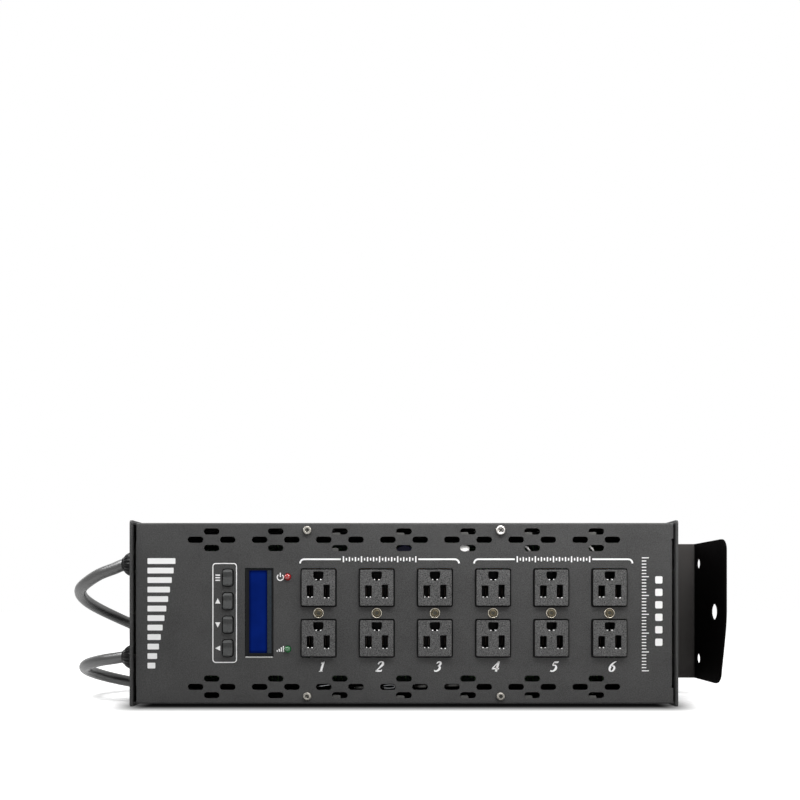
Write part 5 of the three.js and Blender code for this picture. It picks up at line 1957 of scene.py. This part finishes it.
@dataclass
class Lamps:
    """The two indicator lamps, with clear domes."""

    collar: Points = ((3.1, -2.7), (3.1, -1.5), (2.5, -1.5), (2.5, 0.2))
    dome_rise: float = 2.3
    dome_angle: float = 88.0
    dome_steps: int = 7
    leg_half: float = 0.3
    leg_rises: Point = (-1.27, 1.27)

    def build(self) -> None:
        """Turns a dome with its collar and adds the legs of each lamp."""
        radius, foot = self.collar[-1]
        profile = list(self.collar)
        for step in range(1, self.dome_steps + 1):
            angle = math.radians(self.dome_angle * step / self.dome_steps)
            profile.append((radius * math.cos(angle), foot + self.dome_rise * math.sin(angle)))
        finishes = ((RED_RESIN, "red_lamp"), (GREEN_RESIN, "green_lamp"))
        for node, (finish, slot) in zip(LAMPS, finishes):
            x, _, z = CASE.centre(node)
            lamp = Piece.turned(f"{node}_dome", profile, 32, (x, PANEL, z), FRONT)
            lamp.soften(0.12, 2, 50).deliver(finish, slot, node)
            back, half = CASE.box(node)[1].y, self.leg_half
            legs = [Piece.block("leg", (x - half, PANEL + 2.6, z + rise - half),
                                (x + half, back, z + rise + half)) for rise in self.leg_rises]
            for leg in legs:
                leg.soften(0.08)
            Piece.joined(f"{node}_legs", legs).deliver(ZINC, "zinc_screw")


@dataclass
class Glands:
    """The two cord glands: a fluted dome nut outside the plate and a lock nut inside."""

    ribs: int = 20
    nose: float = 3.6
    flutes: Point = (1.2, 12.4)
    flute_rise: float = 1.07
    profile: Points = (
        (8, -10.8), (8, -5.9), (10.9, -5.9), (10.9, -1.9), (8, -1.9), (8, 0.1), (10.7, 0.1),
        (10.7, 0.8), (9.9, 1.1), (9.8, 3.5), (9.6, 5.8), (9.2, 7.8), (8.6, 9.4), (7.9, 10.8),
        (7.0, 12.0), (6.3, 12.8), (6.0, 13.3))

    def build(self) -> None:
        """Turns each gland and raises the ribs of its nut."""
        plate = CASE.box("left_end_plate")[0].x
        quarter = math.pi / 2 / self.ribs
        for node in ("cord_gland_a", "cord_gland_b"):
            middle = CASE.centre(node)

            def on_rib(vertex: bmesh.types.BMVert) -> bool:
                """Whether a vertex of the nut lies on a rib."""
                turn = round(math.atan2(*(vertex.co - middle).zy) / quarter) % 4
                return turn < 2 and self.flutes[0] < plate - vertex.co.x < self.flutes[1]

            reach = plate - CASE.box(node)[0].x + self.nose
            mouth = [(5.6, reach), (5.0, reach), (4.9, reach - 1.2), (3.0, reach - 4.6)]
            nut = Piece.turned(f"{node}_nut", [*self.profile, *mouth], 4 * self.ribs,
                               (plate, middle.y, middle.z), LEFT)
            nut.resized(Pick.VERT, on_rib, (1, self.flute_rise, self.flute_rise), middle)
            nut.smoothed(50).deliver(GLAND_PLASTIC, "gland_plastic", node)


@dataclass
class Breakers:
    """The two resettable breakers, with threaded necks and their buttons."""

    threads: int = 5
    pitch: float = 0.65
    first_thread: float = 3.1
    thread: Points = ((4.7, 0), (5.05, 0.2), (5.05, 0.3), (4.7, 0.5))

    def build(self) -> None:
        """Copies each breaker's solid, adds its thread and dresses its button."""
        plate = CASE.box("left_end_plate")[0].x
        for letter in "ab":
            node, knob = f"breaker_{letter}", f"breaker_button_{letter}"
            middle = CASE.centre(node)
            parts = [Piece.copied(node, f"{node}_body").soften(0.25)]
            for step in range(self.threads):
                foot = self.first_thread + step * self.pitch
                profile = [(radius, foot + rise) for radius, rise in self.thread]
                parts.append(Piece.turned("thread", profile, 24, (plate, middle.y, middle.z), LEFT))
            whole = Piece.joined(f"{node}_body", parts)
            whole.deliver(BLACK_PLASTIC, "breaker_plastic", node)
            button = Piece.copied(knob, f"{node}_button").soften(0.35, 3)
            button.deliver(RESET_PLASTIC, "reset_button", knob, body=f"reset_{letter}")


@dataclass
class DataConnectors:
    """The data inlet with its pins, and the data outlet with its latch."""

    pin_circle: float = 4.6
    pin_radius: float = 1.24
    pin_length: float = 11.2
    hole_radius: float = 1.5
    hole_reach: Point = (3.0, -2.0)
    depth: float = 14.0
    disc: Points = ((9.5, -0.2), (9.5, 0.8), (9.2, 1.0))
    core: Points = ((7.95, -13.8), (7.95, -0.2), (7.7, 0.1))
    latch_gap: float = 0.3

    def pins(self, name: str, middle: Vector, radius: float, low: float, high: float) -> Piece:
        """Three round pins on a circle, the top one first.

        Args:
            name: the pins' name.
            middle: the connector's middle.
            radius: a pin's radius.
            low: where the pins start, along X.
            high: where they end.

        Returns:
            The pins as one piece.
        """
        tip = min(radius * 0.5, 0.6)
        profile = [(radius, -low), (radius, -high - tip), (radius - tip, -high)]
        made = [Piece.turned("pin", profile, 20, (0, *place), LEFT).soften(0.1)
                for place in arc((middle.y, middle.z), self.pin_circle, 90, 330, 2)]
        return Piece.joined(name, made)

    def build(self) -> None:
        """Dresses both shells and fills them."""
        for node in ("data_inlet", "data_outlet"):
            shell = Piece.copied(node, f"{node}_shell").soften(0.2)
            shell.deliver(CONNECTOR_NICKEL, "connector_metal", node)
        face = CASE.box("data_inlet")[0].x
        floor = face + self.depth
        middle = CASE.centre("data_inlet")
        profile = [(radius, rise - floor) for radius, rise in self.disc]
        disc = Piece.turned("data_inlet_insert", profile, 40, (0, middle.y, middle.z), LEFT)
        disc.soften(0.1).deliver(BLACK_PLASTIC, "latch_plastic")
        pins = self.pins(
            "data_inlet_pins", middle, self.pin_radius, floor, floor - self.pin_length)
        pins.deliver(GOLD_PLATE, "connector_metal")
        middle = CASE.centre("data_outlet")
        profile = [(radius, rise - face) for radius, rise in self.core]
        core = Piece.turned("data_outlet_insert", profile, 40, (0, middle.y, middle.z), LEFT)
        low, high = (face + reach for reach in self.hole_reach)
        core.carve(self.pins("holes", middle, self.hole_radius, low, high))
        low, high = CASE.box("data_latch")
        gap = self.latch_gap
        core.carve(Piece.block("latch_room", (face - 3, low.y - gap, low.z - gap),
                               (high.x + 1.8, high.y + gap, high.z + 2)))
        core.soften(0.15).deliver(BLACK_PLASTIC, "latch_plastic")
        latch = Piece.copied("data_latch", "data_latch_tab").soften(0.3)
        latch.deliver(BLACK_PLASTIC, "latch_plastic", "data_latch", body="latch")


@dataclass
class Inside:
    """What can be seen through the vents and sockets: boards, heat sink, chokes and wires.

    The wires' points give X, the depth behind the panel and Z.
    """

    windings: int = 44
    winding_rise: Point = (1.03, 1.03, 1.06)
    bore: float = 6.5
    lead_x: Point = (49.4, 98.8, 148.2)
    lead: Points = (
        (-16, 34, 116), (-10, 14, 122), (-6.5, 3.6, 124.6), (-4.2, 2.5, 123.2), (-2.4, 2.7, 121.4),
        (-1.2, 4.5, 119), (1, 18, 114), (4, 36, 110))
    lugs: Sequence[Tuple[Points, float]] = (
        (((9.5, 9, 14.6), (11.5, 3.6, 15.0), (14.5, 2.8, 15.5), (17, 2.6, 15.6), (19, 9, 15.8)),
         1.5),
        (((32, 9, 15.6), (34, 3.6, 15.9), (37, 2.7, 16.4), (42.5, 2.7, 16.4), (45, 9, 16.4)), 1.35),
        (((-38, 9, 13.6), (-36, 4, 14.1), (-33, 2.8, 14.4), (-30, 2.8, 14.5), (-28, 9, 14.5)), 1.1))
    links: Sequence[Tuple[Points, float]] = (
        (((-69, 9, 13), (-67, 3, 15.0), (-61, 2.4, 15.9), (-56, 3, 16.6), (-54, 9, 17)), 0.5),
        (((-19, 9, 14), (-17.6, 3, 15.2), (-12, 2.3, 16.5), (-7.2, 2.6, 16.2), (-7, 3, 14.2),
          (-12, 2.4, 13.7), (-17, 3, 14.2), (-18, 9, 13)), 0.35))
    sleeve: Points = ((2.6, 0.4), (3.3, 1.2), (3.5, 4.0), (3.1, 9.0), (2.0, 9.6))
    sleeve_place: Point = (46.4, 0.9, 121.9)
    sleeve_width: float = 1.3
    sleeve_dip: float = 0.12
    can: Points = ((6.4, 0.6), (7.0, 1.2), (7.0, 25.0), (6.6, 25.8), (5.0, 26.0))
    can_place: Point = (0.0, 6.0, 118.0)
    saddle_x: Point = (-5.9, 0.4)
    saddle_reach: Point = (1.25, 3.4)
    saddle_places: Points = (
        (49.4, 127.2, 134.4), (98.8, 127.2, 134.4), (148.2, 127.2, 134.4), (-49.4, 3.6, 8.7),
        (0.0, 3.6, 8.4), (49.4, 3.6, 8.4), (98.8, 3.6, 8.4), (148.2, 3.6, 8.4),
        (-51.0, 117.4, 122.2), (-49.4, 127.2, 133.9), (0.0, 127.2, 133.9))

    def choke(self) -> None:
        """Winds one ring choke and copies it behind each outlet."""
        nodes = [f"choke_{index}" for index in range(1, 7)]
        low, high = CASE.box(nodes[0])
        tube = ((high.x - low.x) / 2 - self.bore) / 2
        bpy.ops.mesh.primitive_torus_add(
            major_segments=self.windings * 2, minor_segments=8, major_radius=self.bore + tube,
            minor_radius=tube - 0.3, location=(0, 0, 0))
        ring = Piece("choke").placed(Matrix.Diagonal((1, 1, (high.y - low.y) / 2 / tube, 1)))
        step = math.pi / self.windings
        ring.resized(
            Pick.VERT, lambda vertex: round(math.atan2(vertex.co.y, vertex.co.x) / step) % 2 == 0,
            self.winding_rise, (0, 0, 0))
        turn = Matrix.Rotation(math.pi / 2, 4, "X")
        ring.placed(Matrix.Translation(CASE.centre(nodes[0])) @ turn).smoothed(50)
        ring.repeated(nodes, "winding", COPPER_WINDING, "choke_core", True)

    def parts(self) -> None:
        """Copies the solids of the boards, heat sink, transformer and triacs."""
        plan = [("control_board", BOARD_LACQUER, "board"), ("power_board", BOARD_LACQUER, "board"),
                ("heat_sink", SINK_METAL, "sink_aluminium"),
                ("transformer", CORE_METAL, "transformer_core")]
        plan += [(f"triac_{index}", BLACK_PLASTIC, "triac_body") for index in range(1, 7)]
        for node, finish, slot in plan:
            Piece.copied(node, f"{node}_part").soften(0.15, 1).deliver(finish, slot, node)

    def wire(self, name: str, points: Points, radius: float, x: float = 0) -> Piece:
        """Bends a wire through points inside the case.

        Args:
            name: the wire's name.
            points: the points that it passes, with their depth behind the panel.
            radius: its radius.
            x: where the points' X starts.

        Returns:
            The wire as a mesh.
        """
        places = [(x + across, PANEL + deep, z) for across, deep, z in points]
        wire = Piece.bent(name, "NURBS", places, radius, (6, 3))
        spline = wire.thing.data.splines[0]
        spline.use_endpoint_u = True
        spline.order_u = 3
        wire.as_mesh()
        Piece.take(wire)
        bpy.ops.object.shade_smooth()
        return wire

    def wiring(self) -> None:
        """Puts white leads, a sleeve, lugs, bare links and a capacitor behind the vents."""
        for index, x in enumerate(self.lead_x, 1):
            wire = self.wire(f"white_lead_{index}", self.lead, 1.0, x)
            wire.deliver(WIRE_WHITE, "reset_button")
        x, deep, z = self.sleeve_place
        sleeve = Piece.turned(
            "lead_sleeve", self.sleeve, 32, (0, PANEL + deep, z), (0, 1, -self.sleeve_dip))
        wider = Matrix.Diagonal((self.sleeve_width, 1, 1, 1))
        sleeve.placed(Matrix.Translation((x, 0, 0)) @ wider)
        sleeve.soften(0.5, 3).deliver(WIRE_WHITE, "reset_button")
        for name, wires, finish, slot in (
                ("lead_lug", self.lugs, SADDLE_PLASTIC, "frame_plastic"),
                ("bare_link", self.links, LINK_METAL, "zinc_screw")):
            for index, (points, thick) in enumerate(wires, 1):
                self.wire(f"{name}_{index}", points, thick).deliver(finish, slot)
        x, deep, z = self.can_place
        can = Piece.turned("capacitor", self.can, 32, (x, PANEL + deep, z), (0, 1, 0))
        can.soften(0.3).deliver(CAPACITOR_SLEEVE, "frame_plastic")

    def saddles(self) -> None:
        """Small grey saddles behind the cover, at the outer vents, that hold the leads."""
        for index, (x, low, high) in enumerate(self.saddle_places, 1):
            saddle = Piece.block(f"saddle_{index}", *(
                (x + across, PANEL + reach, z)
                for across, reach, z in zip(self.saddle_x, self.saddle_reach, (low, high))))
            saddle.rounded(Along.Y, 1.2, 4).soften(0.3)
            saddle.deliver(SADDLE_PLASTIC, "frame_plastic")

    def build(self) -> None:
        """Fills the case."""
        self.parts()
        self.choke()
        self.wiring()
        self.saddles()


def main() -> None:
    """Builds the studio and every sub-assembly."""
    logging.basicConfig(level=logging.INFO, format="%(message)s")
    Studio().build()
    for cord in CORDS:
        cord.build()
    for assembly in (
            FrontCover(), Housing(), Bracket(), Outlets(), Fasteners(), PanelPrint(), Display(),
            Buttons(), Lamps(), Glands(), Breakers(), DataConnectors(), Inside()):
        assembly.build()
        LOG.info("%s is built", type(assembly).__name__)


if __name__ == "__main__":
    main()
